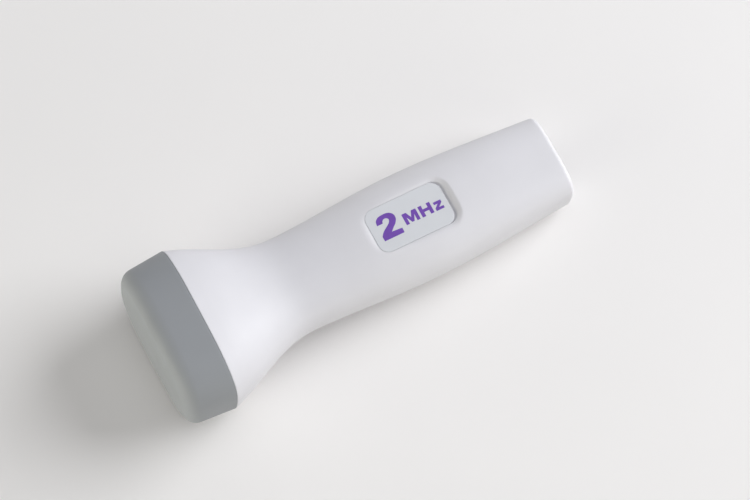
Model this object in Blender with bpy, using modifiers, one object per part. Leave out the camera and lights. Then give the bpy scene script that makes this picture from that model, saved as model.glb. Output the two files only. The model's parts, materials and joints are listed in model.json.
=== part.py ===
"""Handheld Doppler ultrasound probe, lying on its underside.

The body runs along +X, from the flat acoustic face of the nose cap to the cord socket in the rear end.
Lengths are in metres. Sizes across the body are full widths and heights, and an inset is measured
inwards from the body's outer skin.
"""
import math

import bmesh
import bpy
from mathutils import Vector

MM = 0.001

# Fits
GAP = 0.3 * MM                  # between two pieces that touch on the real probe
SEAM_GAP = 0.3 * MM             # between the two shells, and between shells and cap
EDGE_BREAK = 0.15 * MM          # small chamfer along the seam between cap and shells

# Stretches of the body along X
CAP_DEPTH = 13.1 * MM
SHOULDER_LENGTH = 7.1 * MM
FLARE_LENGTH = 7.0 * MM
THROAT_LENGTH = 11.3 * MM
GRIP_LENGTH = 37.5 * MM
TAIL_LENGTH = 42.0 * MM

# Cross sections
FACE_WIDTH = 41.7 * MM
FACE_HEIGHT = 31.0 * MM
RIM_WIDTH = 43.8 * MM
RIM_HEIGHT = 32.2 * MM
SHOULDER_WIDTH = 38.9 * MM
SHOULDER_HEIGHT = 28.3 * MM
FLARE_WIDTH = 32.1 * MM
FLARE_HEIGHT = 23.0 * MM
NECK_WIDTH = 26.1 * MM
NECK_HEIGHT = 18.3 * MM
BELLY_WIDTH = 29.4 * MM
BELLY_HEIGHT = 20.8 * MM
HEAD_SQUARENESS = 3.0           # superellipse exponent: 2 is an ellipse, more is squarer
GRIP_SQUARENESS = 2.6
REAR_SQUARENESS = 3.45
FACE_FILLET = 3.2 * MM
REAR_FILLET = 1.3 * MM

# Shells
WALL = 2.0 * MM
REAR_WALL = 2.4 * MM
TONGUE_INSET = 1.15 * MM
TONGUE_HEIGHT = 1.0 * MM
BOSS_DIAMETER = 5.6 * MM
STOP_THICKNESS = 1.5 * MM       # ribs that hold the socket's ears against the rear wall
RIB_THICKNESS = 1.2 * MM
RIB_HEIGHT = 1.4 * MM
UPPER_RIB_ROWS = (0.5, 1.5, 5.0)  # counted in rows of parts along the board
LOWER_RIB_ROWS = (1.5, 3.5)

# Nose cap and seal
FACE_THICKNESS = 2.2 * MM
SPIGOT_LENGTH = 3.4 * MM
SPIGOT_WALL = 1.3 * MM
SEAL_CORD = 0.8 * MM

# Crystals and what holds them
CRYSTAL_THICKNESS = 1.0 * MM    # half a wave at 2 MHz in the ceramic
BACKING_THICKNESS = 2.4 * MM
BACKING_STEP = 3.0 * MM         # free margin of the crystal around its backing pad
CARRIER_RIM = 1.6 * MM
BARRIER_THICKNESS = 2.0 * MM
SHIELD_THICKNESS = 0.5 * MM
SHIELD_DEPTH = 4.0 * MM
LEAD_DIAMETER = 1.2 * MM
LEAD_HOLE_ROOM = 0.4 * MM

# Recess and plate on top
RECESS_LENGTH = 24.6 * MM
RECESS_WIDTH = 13.6 * MM
RECESS_RADIUS = 3.4 * MM
RECESS_DEPTH = 1.45 * MM        # under the crown of the body, at the middle of the recess
RECESS_DRAFT = 0.7 * MM         # how far the front and side walls lean in from mouth to floor
RECESS_REAR_DRAFT = 1.8 * MM    # the rear wall slopes more
RECESS_TILT = 1.2               # degrees, deeper towards the rear
RECESS_FORWARD = 1.0 * MM       # how far its middle lies in front of the belly
PLATE_THICKNESS = 0.4 * MM
RECESS_FLOOR = 1.3 * MM         # shell left under the recess
PAD_MARGIN = 1.2 * MM

# Circuit board
BOARD_THICKNESS = 1.6 * MM
BOARD_DROP = 1.0 * MM           # top of the board below the seam plane
BOARD_SIDE_GAP = 0.9 * MM
BOARD_FRONT_SETBACK = 4.0 * MM
BOARD_REAR_SETBACK = 3.4 * MM
BOARD_CORNER = 1.5 * MM
SCREW_EDGE = 5.5 * MM           # screw's axis to the end of the board
SCREW_SHANK = 2.0 * MM
SCREW_LENGTH = 5.0 * MM
SCREW_HEAD = 3.6 * MM
SCREW_HEAD_HEIGHT = 1.4 * MM
SCREW_HEAD_SIDE = 0.65 * MM
SCREW_CROWN = 2.0 * MM
SCREW_TIP = 0.6 * MM
SCREW_SLOT = 0.6 * MM
SCREW_SLOT_LENGTH = 2.2 * MM
SCREW_SLOT_DEPTH = 0.7 * MM

# Parts on the board
COIL_DIAMETER = 7.0 * MM
COIL_HEIGHT = 5.0 * MM
COIL_WAIST = 3.4 * MM
COIL_FLANGE = 0.8 * MM
COIL_SPREAD = 10.0 * MM         # between the two coils' axes
CHIP_LENGTH = 5.0 * MM
CHIP_WIDTH = 3.9 * MM
CHIP_HEIGHT = 1.5 * MM
CHIP_SPAN = 6.0 * MM
LEG_PITCH = 1.27 * MM
LEG_WIDTH = 0.42 * MM
LEG_THICKNESS = 0.25 * MM
LEGS_A_SIDE = 4
TRIMMER_DIAMETER = 6.0 * MM
TRIMMER_HEIGHT = 2.6 * MM
TRIMMER_STEP = 1.8 * MM         # height of its wider body
TRIMMER_ROTOR = 3.4 * MM
TRIMMER_SLOT_DEPTH = 0.4 * MM
CAPACITOR_DIAMETER = 6.3 * MM
CAPACITOR_HEIGHT = 5.4 * MM
CAPACITOR_CRIMP = 0.35 * MM
CAPACITOR_CRIMP_RISE = 1.3 * MM
PART_SPACING = 11.0 * MM        # between rows of parts along the board
COIL_ROW = 1
CHIP_ROW = 2
TRIMMER_ROW = 3
CAPACITOR_ROW = 4

# Cord socket
PLUG_WIDTH = 9.9 * MM
PLUG_HEIGHT = 6.8 * MM
PLUG_DEPTH = 12.0 * MM
LATCH_WIDTH = 6.2 * MM
LATCH_HEIGHT = 2.0 * MM
JACK_WALL = 0.9 * MM
JACK_BACK = 1.8 * MM
JACK_RECESS = 0.4 * MM          # the socket's mouth behind the rear end
JACK_TOP_ROOM = 1.1 * MM        # between the socket and the shells, above and below
JACK_SIDE_ROOM = 4.15 * MM
EAR_REACH = 2.2 * MM
EAR_THICKNESS = 1.2 * MM
EAR_HEIGHT = 6.0 * MM
CONTACTS = 4
CONTACT_PITCH = 1.02 * MM
CONTACT_WIRE = 0.44 * MM
CONTACT_DIP = 1.9 * MM          # how far a free contact hangs under the socket's ceiling
CONTACT_FREE_LENGTH = 6.6 * MM  # of the sprung stretch that slants into the socket
CONTACT_LANDING = 1.8 * MM      # how far a contact's tail reaches over the board

# Fineness of the curved skins
RING_POINTS = 60
INNER_RING_POINTS = 36
RIB_POINTS = 24
SEAM_STATIONS = 14
FILLET_STEPS = 5
TURN_STEPS = 24

# Sizes that follow
RIM_X = CAP_DEPTH
SHOULDER_X = RIM_X + SHOULDER_LENGTH
FLARE_X = SHOULDER_X + FLARE_LENGTH
NECK_X = FLARE_X + THROAT_LENGTH
BELLY_X = NECK_X + GRIP_LENGTH
BODY_LENGTH = BELLY_X + TAIL_LENGTH

JACK_WIDTH = PLUG_WIDTH + 2 * JACK_WALL
JACK_HEIGHT = PLUG_HEIGHT + LATCH_HEIGHT + 2 * JACK_WALL
JACK_MOUTH_X = BODY_LENGTH - JACK_RECESS
JACK_BACK_X = JACK_MOUTH_X - PLUG_DEPTH - JACK_BACK
JACK_CEILING = JACK_HEIGHT / 2 - JACK_WALL
REAR_WIDTH = JACK_WIDTH + 2 * (JACK_SIDE_ROOM + WALL)
REAR_HEIGHT = JACK_HEIGHT + 2 * (JACK_TOP_ROOM + WALL)

CAP_END_X = RIM_X - SEAM_GAP / 2
SHELL_START_X = RIM_X + SEAM_GAP / 2
SPIGOT_END_X = RIM_X + SPIGOT_LENGTH
SPIGOT_INSET = WALL + GAP
BORE_INSET = SPIGOT_INSET + SPIGOT_WALL

RECESS_FLOOR_LENGTH = RECESS_LENGTH - RECESS_DRAFT - RECESS_REAR_DRAFT
RECESS_FLOOR_WIDTH = RECESS_WIDTH - 2 * RECESS_DRAFT
RECESS_FLOOR_RADIUS = RECESS_RADIUS - RECESS_DRAFT
RECESS_SHIFT = (RECESS_REAR_DRAFT - RECESS_DRAFT) / 2  # the floor's middle in front of the mouth's

BOARD_TOP = -BOARD_DROP
BOARD_BOTTOM = BOARD_TOP - BOARD_THICKNESS
BOARD_FRONT_X = FLARE_X + BOARD_FRONT_SETBACK
BOARD_REAR_X = JACK_BACK_X - BOARD_REAR_SETBACK
BOARD_LENGTH = BOARD_REAR_X - BOARD_FRONT_X
BOARD_WIDTH = NECK_WIDTH - 2 * (WALL + BOARD_SIDE_GAP)
SCREW_XS = (BOARD_FRONT_X + SCREW_EDGE, BOARD_REAR_X - SCREW_EDGE)
PARTS_Z = BOARD_TOP + GAP

# Object rotation that turns a flat piece's own XY plane into the body's YZ plane
FACING_FORWARD = (math.pi / 2, 0.0, math.pi / 2)


def steady_slopes(xs, ys):
    """Slopes of a smooth curve through the points that never overshoots them."""
    steps = [(ys[i + 1] - ys[i]) / (xs[i + 1] - xs[i]) for i in range(len(xs) - 1)]
    slopes = [steps[0]]
    for before, after in zip(steps, steps[1:]):
        if before * after <= 0:
            slopes.append(0.0)
        else:
            slopes.append(2 * before * after / (before + after))
    slopes.append(steps[-1])
    return slopes


def smooth_value(stations, x):
    """Value at x of the smooth curve through stations, a list of (x, value)."""
    xs = [station[0] for station in stations]
    ys = [station[1] for station in stations]
    if x <= xs[0]:
        return ys[0]
    if x >= xs[-1]:
        return ys[-1]
    slopes = steady_slopes(xs, ys)
    i = max(k for k in range(len(xs) - 1) if xs[k] <= x)
    run = xs[i + 1] - xs[i]
    t = (x - xs[i]) / run
    rise = (3 - 2 * t) * t * t
    ease_out = t * (1 - t) ** 2 * run
    ease_in = t * t * (t - 1) * run
    return ys[i] * (1 - rise) + ys[i + 1] * rise + slopes[i] * ease_out + slopes[i + 1] * ease_in


def blend(low, high, share):
    return low + (high - low) * share


def half_width(x):
    if x <= RIM_X:
        return blend(FACE_WIDTH, RIM_WIDTH, x / RIM_X) / 2
    stations = [
        (RIM_X, RIM_WIDTH), (SHOULDER_X, SHOULDER_WIDTH), (FLARE_X, FLARE_WIDTH),
        (NECK_X, NECK_WIDTH), (BELLY_X, BELLY_WIDTH), (BODY_LENGTH, REAR_WIDTH),
    ]
    return smooth_value(stations, x) / 2


def half_height(x):
    if x <= RIM_X:
        return blend(FACE_HEIGHT, RIM_HEIGHT, x / RIM_X) / 2
    stations = [
        (RIM_X, RIM_HEIGHT), (SHOULDER_X, SHOULDER_HEIGHT), (FLARE_X, FLARE_HEIGHT),
        (NECK_X, NECK_HEIGHT), (BELLY_X, BELLY_HEIGHT), (BODY_LENGTH, REAR_HEIGHT),
    ]
    return smooth_value(stations, x) / 2


def squareness(x):
    stations = [
        (RIM_X, HEAD_SQUARENESS), (NECK_X, GRIP_SQUARENESS),
        (BELLY_X, GRIP_SQUARENESS), (BODY_LENGTH, REAR_SQUARENESS),
    ]
    return smooth_value(stations, x)


def oval_point(half_w, half_h, exponent, angle):
    """Point (y, z) of a superellipse."""
    c = math.cos(angle)
    s = math.sin(angle)
    y = math.copysign(abs(c) ** (2 / exponent), c) * half_w
    z = math.copysign(abs(s) ** (2 / exponent), s) * half_h
    return y, z


def section(x, inset=0.0, count=RING_POINTS):
    """Closed outline (y, z) of the body at x."""
    half_w = half_width(x) - inset
    half_h = half_height(x) - inset
    step = 2 * math.pi / count
    return [oval_point(half_w, half_h, squareness(x), i * step) for i in range(count)]


def half_section(x, inset, side, count=RING_POINTS):
    """Outline (y, z) of the body's upper (side 1) or lower (side -1) half, closed at the seam."""
    half_w = half_width(x) - inset
    half_h = half_height(x) - inset
    step = math.pi / (count // 2)
    points = []
    for i in range(count // 2 + 1):
        y, z = oval_point(half_w, half_h, squareness(x), i * step)
        points.append((y, side * max(z, SEAM_GAP / 2)))
    return points if side > 0 else points[::-1]


def bore_outline(clearance):
    """Outline of the straight bore that runs through the cap's spigot up to the acoustic face."""
    return section(SPIGOT_END_X, BORE_INSET + clearance, INNER_RING_POINTS)


def spread(start, end, count):
    """Evenly spaced values from start to end."""
    return [blend(start, end, i / (count - 1)) for i in range(count)]


def resting_slope():
    """Slope of the line under the body that touches the rim of the head and the rear of the handle."""
    rim_z = -half_height(RIM_X)
    slopes = []
    for x in spread(BELLY_X, BODY_LENGTH - REAR_FILLET, 60):
        slopes.append((-half_height(x) - rim_z) / (x - RIM_X))
    return min(slopes)


def new_collection(name):
    collection = bpy.data.collections.new(name)
    bpy.context.scene.collection.children.link(collection)
    return collection


def new_material(name, colour, roughness, metallic=0.0):
    material = bpy.data.materials.new(name)
    material.use_nodes = True
    shader = material.node_tree.nodes["Principled BSDF"]
    shader.inputs["Base Color"].default_value = (*colour, 1.0)
    shader.inputs["Roughness"].default_value = roughness
    shader.inputs["Metallic"].default_value = metallic
    material.diffuse_color = (*colour, 1.0)
    return material


def place(obj, parent, location=(0, 0, 0), rotation=(0, 0, 0)):
    obj.parent = parent
    obj.location = location
    obj.rotation_euler = rotation
    return obj


class Bench:
    """The two collections that objects are built in, and the empty that everything lies on."""

    def __init__(self):
        self.parts = new_collection("doppler_probe")
        self.tools = new_collection("cutters")
        self.axis = bpy.data.objects.new("probe_axis", None)
        self.parts.objects.link(self.axis)

    def add_part(self, name, mesh, material, location=(0, 0, 0), rotation=(0, 0, 0)):
        mesh.materials.clear()
        mesh.materials.append(material)
        mesh.shade_smooth()
        mesh.set_sharp_from_angle(angle=math.radians(32))
        obj = bpy.data.objects.new(name, mesh)
        self.parts.objects.link(obj)
        return place(obj, self.axis, location, rotation)

    def add_tool(self, name, mesh, location=(0, 0, 0), rotation=(0, 0, 0)):
        obj = bpy.data.objects.new(name, mesh)
        obj.hide_render = True
        obj.display_type = "WIRE"
        self.tools.objects.link(obj)
        return place(obj, self.axis, location, rotation)


def boolean(target, tool, operation):
    modifier = target.modifiers.new(f"{operation.lower()} {tool.name}", "BOOLEAN")
    modifier.operation = operation
    modifier.object = tool


def cut(target, *tools):
    for tool in tools:
        boolean(target, tool, "DIFFERENCE")


def join(target, *tools):
    for tool in tools:
        boolean(target, tool, "UNION")


def mesh_from(bm, name):
    bmesh.ops.recalc_face_normals(bm, faces=bm.faces)
    mesh = bpy.data.meshes.new(name)
    bm.to_mesh(mesh)
    bm.free()
    return mesh


def skin_rings(bm, outlines, endless=False):
    """Skins a row of outlines of equal length, given as lists of 3-D points. Flat faces close its ends."""
    rings = [[bm.verts.new(point) for point in outline] for outline in outlines]
    followers = rings[1:] + rings[:1] if endless else rings[1:]
    for ring, after in zip(rings, followers):
        for i in range(len(ring)):
            k = (i + 1) % len(ring)
            bm.faces.new((ring[i], ring[k], after[k], after[i]))
    if not endless:
        bm.faces.new(rings[0][::-1])
        bm.faces.new(rings[-1])


def loft(name, stations):
    """Closed mesh through sections of the body: stations is a list of (x, [(y, z), ...])."""
    bm = bmesh.new()
    skin_rings(bm, [[(x, y, z) for y, z in outline] for x, outline in stations])
    return mesh_from(bm, name)


def flat_mesh(name, outlines, thickness):
    """Plate in its own XY plane, from an outer outline and the outlines of its holes."""
    curve = bpy.data.curves.new(name, "CURVE")
    curve.dimensions = "2D"
    curve.fill_mode = "BOTH"
    curve.extrude = thickness / 2
    for outline in outlines:
        spline = curve.splines.new("POLY")
        spline.points.add(len(outline) - 1)
        for point, (x, y) in zip(spline.points, outline):
            point.co = (x, y, 0, 1)
        spline.use_cyclic_u = True
    return solid_from_curve(curve, name)


def wire_mesh(name, points, diameter):
    """Round wire along points, with flat ends."""
    curve = bpy.data.curves.new(name, "CURVE")
    curve.dimensions = "3D"
    curve.bevel_depth = diameter / 2
    curve.bevel_resolution = 2
    curve.use_fill_caps = True
    spline = curve.splines.new("POLY")
    spline.points.add(len(points) - 1)
    for point, place_on_route in zip(spline.points, points):
        point.co = (*place_on_route, 1)
    return solid_from_curve(curve, name)


def solid_from_curve(curve, name):
    """Turns a curve into a mesh whose caps are welded to its sides."""
    source = bpy.data.objects.new(name + "_curve", curve)
    bpy.context.scene.collection.objects.link(source)
    evaluated = source.evaluated_get(bpy.context.evaluated_depsgraph_get())
    mesh = bpy.data.meshes.new_from_object(evaluated)
    mesh.name = name
    bpy.data.objects.remove(source)
    bpy.data.curves.remove(curve)
    bm = bmesh.new()
    bm.from_mesh(mesh)
    bmesh.ops.remove_doubles(bm, verts=bm.verts, dist=0.000001)
    bmesh.ops.recalc_face_normals(bm, faces=bm.faces)
    bm.to_mesh(mesh)
    bm.free()
    return mesh


def box_mesh(name, size, bevel=0.0):
    bm = bmesh.new()
    bmesh.ops.create_cube(bm, size=1.0)
    bmesh.ops.scale(bm, vec=Vector(size), verts=bm.verts)
    if bevel:
        bmesh.ops.bevel(bm, geom=bm.edges, offset=bevel, segments=2, profile=0.5, affect="EDGES")
    return mesh_from(bm, name)


def cylinder_mesh(name, diameter, height, segments=32):
    bm = bmesh.new()
    bmesh.ops.create_cone(
        bm, cap_ends=True, segments=segments, radius1=diameter / 2, radius2=diameter / 2, depth=height
    )
    return mesh_from(bm, name)


def turned(bench, name, profile, material, location):
    """Solid of revolution about its own Z axis, from (radius, z) points that run down the outer side.

    A profile that starts and ends on the axis is left open there, and any other is a closed loop.
    """
    edges = [(i, i + 1) for i in range(len(profile) - 1)]
    if profile[0][0] > 0:
        edges.append((len(profile) - 1, 0))
    mesh = bpy.data.meshes.new(name)
    mesh.from_pydata([(r, 0, z) for r, z in profile], edges, [])
    obj = bench.add_part(name, mesh, material, location)
    screw = obj.modifiers.new("turn", "SCREW")
    screw.axis = "Z"
    screw.steps = TURN_STEPS
    screw.render_steps = TURN_STEPS
    screw.use_merge_vertices = True
    screw.merge_threshold = 0.00001
    return obj


def rounded_rectangle(length, width, radius, corner_steps=6):
    points = []
    for cx, cy, start in ((1, 1, 0), (-1, 1, 90), (-1, -1, 180), (1, -1, 270)):
        for angle in spread(math.radians(start), math.radians(start + 90), corner_steps + 1):
            x = cx * (length / 2 - radius) + radius * math.cos(angle)
            y = cy * (width / 2 - radius) + radius * math.sin(angle)
            points.append((x, y))
    return points


def circle(cx, cy, radius, count=24):
    step = 2 * math.pi / count
    return [(cx + radius * math.cos(i * step), cy + radius * math.sin(i * step)) for i in range(count)]


def half_disc(radius, flat_y, side, count=20):
    """D outline whose flat side stands at flat_y from the middle line, bulging to side."""
    points = []
    for angle in spread(-math.pi / 2, math.pi / 2, count + 1):
        points.append((side * (flat_y + radius * math.cos(angle)), radius * math.sin(angle)))
    return points


def smooth_route(points, steps=5):
    """Points along a smooth curve through the given ones."""
    ends = [points[0] * 2 - points[1], *points, points[-1] * 2 - points[-2]]
    route = []
    for a, b, c, d in zip(ends, ends[1:], ends[2:], ends[3:]):
        for i in range(steps):
            t = i / steps
            bend = (a * 2 - b * 5 + c * 4 - d) * t + (b * 3 - a - c * 3 + d) * t * t
            route.append(b + ((c - a) + bend) * (t / 2))
    route.append(points[-1])
    return route


def body_stations():
    """X places of the handle's outer skin: closer together where the outline bends."""
    xs = spread(SHELL_START_X + EDGE_BREAK, SHOULDER_X, 4)
    xs += spread(SHOULDER_X, FLARE_X, 4)[1:]
    xs += spread(FLARE_X, NECK_X, 6)[1:]
    xs += spread(NECK_X, BELLY_X, 7)[1:]
    xs += spread(BELLY_X, BODY_LENGTH - REAR_FILLET, 7)[1:]
    return xs


def rear_rounding():
    """(x, inset) steps of the fillet at the rear end."""
    steps = []
    for angle in spread(0, math.pi / 2, FILLET_STEPS)[1:]:
        x = BODY_LENGTH - REAR_FILLET * (1 - math.sin(angle))
        steps.append((x, REAR_FILLET * (1 - math.cos(angle))))
    return steps


def shell_blank(name, side):
    """One solid half of the handle, before it is hollowed."""
    skin = [(SHELL_START_X, EDGE_BREAK)]
    skin += [(x, 0.0) for x in body_stations()]
    skin += rear_rounding()
    return loft(name, [(x, half_section(x, inset, side)) for x, inset in skin])


def hollow_mesh():
    """The room inside both shells, open at the front."""
    xs = spread(RIM_X - WALL, SHOULDER_X, 3)
    xs += spread(SHOULDER_X, NECK_X, 6)[1:]
    xs += spread(NECK_X, BELLY_X, 4)[1:]
    xs += spread(BELLY_X, BODY_LENGTH - REAR_WALL, 4)[1:]
    return loft("hollow", [(x, section(x, WALL, INNER_RING_POINTS)) for x in xs])


def seal_seat_mesh():
    """Step in the shells' front edge for the ring seal."""
    inset = WALL - SEAL_CORD - GAP
    xs = (CAP_END_X - GAP, CAP_END_X + SEAL_CORD + 2 * GAP)
    return loft("seal_seat", [(x, section(x, inset, INNER_RING_POINTS)) for x in xs])


def seam_strip(name, inset_out, inset_in, low, high, margin):
    """Two bars along the seam, one on each flank, between two insets and two heights."""
    bm = bmesh.new()
    start = SPIGOT_END_X + margin
    end = BODY_LENGTH - REAR_WALL - REAR_FILLET - margin
    for side in (1, -1):
        outlines = []
        for x in spread(start, end, SEAM_STATIONS):
            y_out = side * (half_width(x) - inset_out)
            y_in = side * (half_width(x) - inset_in)
            outlines.append([(x, y_out, low), (x, y_out, high), (x, y_in, high), (x, y_in, low)])
        skin_rings(bm, outlines)
    return mesh_from(bm, name)


def arch_rib(bench, name, x, side):
    """Rib that follows the inside of one shell from seam to seam, its foot sunk into the wall."""
    foot = half_section(x, WALL / 2, side, RIB_POINTS)
    crest = half_section(x, WALL + RIB_HEIGHT, side, RIB_POINTS)
    low = x - RIB_THICKNESS / 2
    high = x + RIB_THICKNESS / 2
    outlines = []
    for (foot_y, foot_z), (crest_y, crest_z) in zip(foot, crest):
        outlines.append([
            (low, foot_y, foot_z), (high, foot_y, foot_z), (high, crest_y, crest_z), (low, crest_y, crest_z)
        ])
    bm = bmesh.new()
    skin_rings(bm, outlines)
    return bench.add_tool(name, mesh_from(bm, name))


def wall_block(bench, name, size, location, rotation=(0, 0, 0)):
    """Block that grows from the inside of the wall and never reaches the outer skin."""
    block = bench.add_tool(name, box_mesh(name, size), location, rotation)
    reach = size[0] / 2 + RIB_THICKNESS
    xs = spread(location[0] - reach, location[0] + reach, 5)
    core = bench.add_tool(
        name + "_limit", loft(name + "_limit", [(x, section(x, WALL / 2, INNER_RING_POINTS)) for x in xs])
    )
    boolean(block, core, "INTERSECT")
    return block


def recess_place():
    """Middle of the recess's floor, and the turn that tilts it."""
    x = BELLY_X - RECESS_FORWARD - RECESS_SHIFT
    z = half_height(x) - RECESS_DEPTH
    return (x, 0, z), (0, math.radians(RECESS_TILT), 0)


def recess_mesh():
    """Cutter with sloped walls, its floor in its own XY plane."""
    floor = rounded_rectangle(RECESS_FLOOR_LENGTH, RECESS_FLOOR_WIDTH, RECESS_FLOOR_RADIUS)
    mouth = rounded_rectangle(
        RECESS_FLOOR_LENGTH + 2 * (RECESS_DRAFT + RECESS_REAR_DRAFT),
        RECESS_FLOOR_WIDTH + 4 * RECESS_DRAFT,
        RECESS_FLOOR_RADIUS + 2 * RECESS_DRAFT,
    )
    shift = 2 * RECESS_SHIFT
    bm = bmesh.new()
    skin_rings(bm, [[(x, y, 0) for x, y in floor], [(x + shift, y, 2 * RECESS_DEPTH) for x, y in mouth]])
    return mesh_from(bm, "recess")


def stop_rib_tool(bench, side):
    """Ribs of one shell that stand in front of the socket's ears."""
    ear_front = BODY_LENGTH - REAR_WALL - GAP - EAR_THICKNESS
    x = ear_front - GAP - STOP_THICKNESS / 2
    y_mid = JACK_WIDTH / 2 + GAP + EAR_REACH / 2
    bm = bmesh.new()
    inner = half_height(x) - WALL / 2
    height = inner - SEAM_GAP
    for flank in (1, -1):
        made = bmesh.ops.create_cube(bm, size=1.0)["verts"]
        bmesh.ops.scale(bm, vec=Vector((STOP_THICKNESS, EAR_REACH, height)), verts=made)
        bmesh.ops.translate(bm, vec=Vector((x, flank * y_mid, side * (SEAM_GAP + height / 2))), verts=made)
    name = "upper_stops" if side > 0 else "lower_stops"
    return bench.add_tool(name, mesh_from(bm, name))


def make_shells(bench, white):
    hollow = bench.add_tool("hollow", hollow_mesh())
    seal_seat = bench.add_tool("seal_seat", seal_seat_mesh())
    opening_size = (2 * REAR_WALL, JACK_WIDTH + 2 * GAP, JACK_HEIGHT + 2 * GAP)
    jack_opening = bench.add_tool(
        "jack_opening", box_mesh("jack_opening", opening_size), (BODY_LENGTH - REAR_WALL / 2, 0, 0)
    )

    upper = bench.add_part("upper_shell", shell_blank("upper_shell", 1), white)
    rebate = bench.add_tool("seam_rebate", seam_strip(
        "seam_rebate", TONGUE_INSET - GAP, WALL + GAP, -TONGUE_HEIGHT, TONGUE_HEIGHT + GAP, 0.0
    ))
    floor_place, floor_turn = recess_place()
    pad_height = RECESS_FLOOR + RECESS_DEPTH
    pad_size = (RECESS_LENGTH + 2 * PAD_MARGIN, RECESS_WIDTH + 2 * PAD_MARGIN, pad_height)
    pad_place = (floor_place[0], 0, floor_place[2] - RECESS_FLOOR + pad_height / 2)
    pad = wall_block(bench, "recess_pad", pad_size, pad_place, floor_turn)
    recess = bench.add_tool("recess", recess_mesh(), floor_place, floor_turn)
    cut(upper, hollow, seal_seat)
    join(upper, pad, stop_rib_tool(bench, 1))
    for number, row in enumerate(UPPER_RIB_ROWS, start=1):
        join(upper, arch_rib(bench, f"arch_rib_{number}", row_x(row), 1))
    cut(upper, recess, rebate, jack_opening)

    lower = bench.add_part("lower_shell", shell_blank("lower_shell", -1), white)
    tongue = bench.add_tool("seam_tongue", seam_strip(
        "seam_tongue", TONGUE_INSET, WALL, -TONGUE_HEIGHT, TONGUE_HEIGHT, GAP
    ))
    cut(lower, hollow, seal_seat)
    join(lower, tongue, stop_rib_tool(bench, -1))
    boss_top = BOARD_BOTTOM - GAP
    for number, row in enumerate(LOWER_RIB_ROWS, start=1):
        x = row_x(row)
        rest_size = (RIB_THICKNESS, BOARD_WIDTH, half_height(x))
        rest_place = (x, 0, boss_top - half_height(x) / 2)
        join(lower, wall_block(bench, f"board_rest_{number}", rest_size, rest_place))
    for number, x in enumerate(SCREW_XS, start=1):
        boss_foot = -half_height(x) + WALL / 2
        boss_height = boss_top - boss_foot
        boss = bench.add_tool(
            f"boss_{number}", cylinder_mesh("boss", BOSS_DIAMETER, boss_height), (x, 0, boss_foot + boss_height / 2)
        )
        hole_foot = PARTS_Z - SCREW_LENGTH - GAP
        hole_height = boss_top + GAP - hole_foot
        hole = bench.add_tool(
            f"boss_hole_{number}",
            cylinder_mesh("boss_hole", SCREW_SHANK + 2 * GAP, hole_height),
            (x, 0, hole_foot + hole_height / 2),
        )
        join(lower, boss)
        cut(lower, hole)
    cut(lower, jack_opening)


def make_nose_cap(bench, grey):
    skin = []
    for angle in spread(0, math.pi / 2, FILLET_STEPS + 1):
        skin.append((FACE_FILLET * (1 - math.sin(angle)), FACE_FILLET * (1 - math.cos(angle))))
    skin = skin[::-1]
    skin.append((CAP_END_X - EDGE_BREAK, 0.0))
    skin.append((CAP_END_X, EDGE_BREAK))
    cap = bench.add_part("nose_cap", loft("nose_cap", [(x, section(x, inset)) for x, inset in skin]), grey)
    spigot_xs = spread(CAP_END_X - SPIGOT_WALL, SPIGOT_END_X, 3)
    spigot_rings = [(x, section(x, SPIGOT_INSET, INNER_RING_POINTS)) for x in spigot_xs]
    spigot = bench.add_tool("spigot", loft("spigot", spigot_rings))
    bore_xs = (FACE_THICKNESS, SPIGOT_END_X + SPIGOT_WALL)
    bore = bench.add_tool("bore", loft("bore", [(x, bore_outline(0.0)) for x in bore_xs]))
    join(cap, spigot)
    cut(cap, bore)


def make_seal(bench, rubber):
    """Ring of round cord that follows the body's section, in the step behind the cap."""
    radius = SEAL_CORD / 2
    x = CAP_END_X + GAP + radius
    outline = section(x, WALL - radius, INNER_RING_POINTS)
    outlines = []
    for i, (y, z) in enumerate(outline):
        ahead = Vector(outline[(i + 1) % len(outline)])
        behind = Vector(outline[i - 1])
        along = (ahead - behind).normalized()
        cord = []
        for across, reach in circle(0, 0, radius, 8):
            cord.append((x + across, y + along.y * reach, z - along.x * reach))
        outlines.append(cord)
    bm = bmesh.new()
    skin_rings(bm, outlines, endless=True)
    bench.add_part("nose_gasket", mesh_from(bm, "nose_gasket"), rubber)


def crystal_radius():
    """Radius of the D-shaped crystals: what the bore's height leaves inside the carrier's rim."""
    return half_height(SPIGOT_END_X) - BORE_INSET - GAP - CARRIER_RIM - GAP


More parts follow.
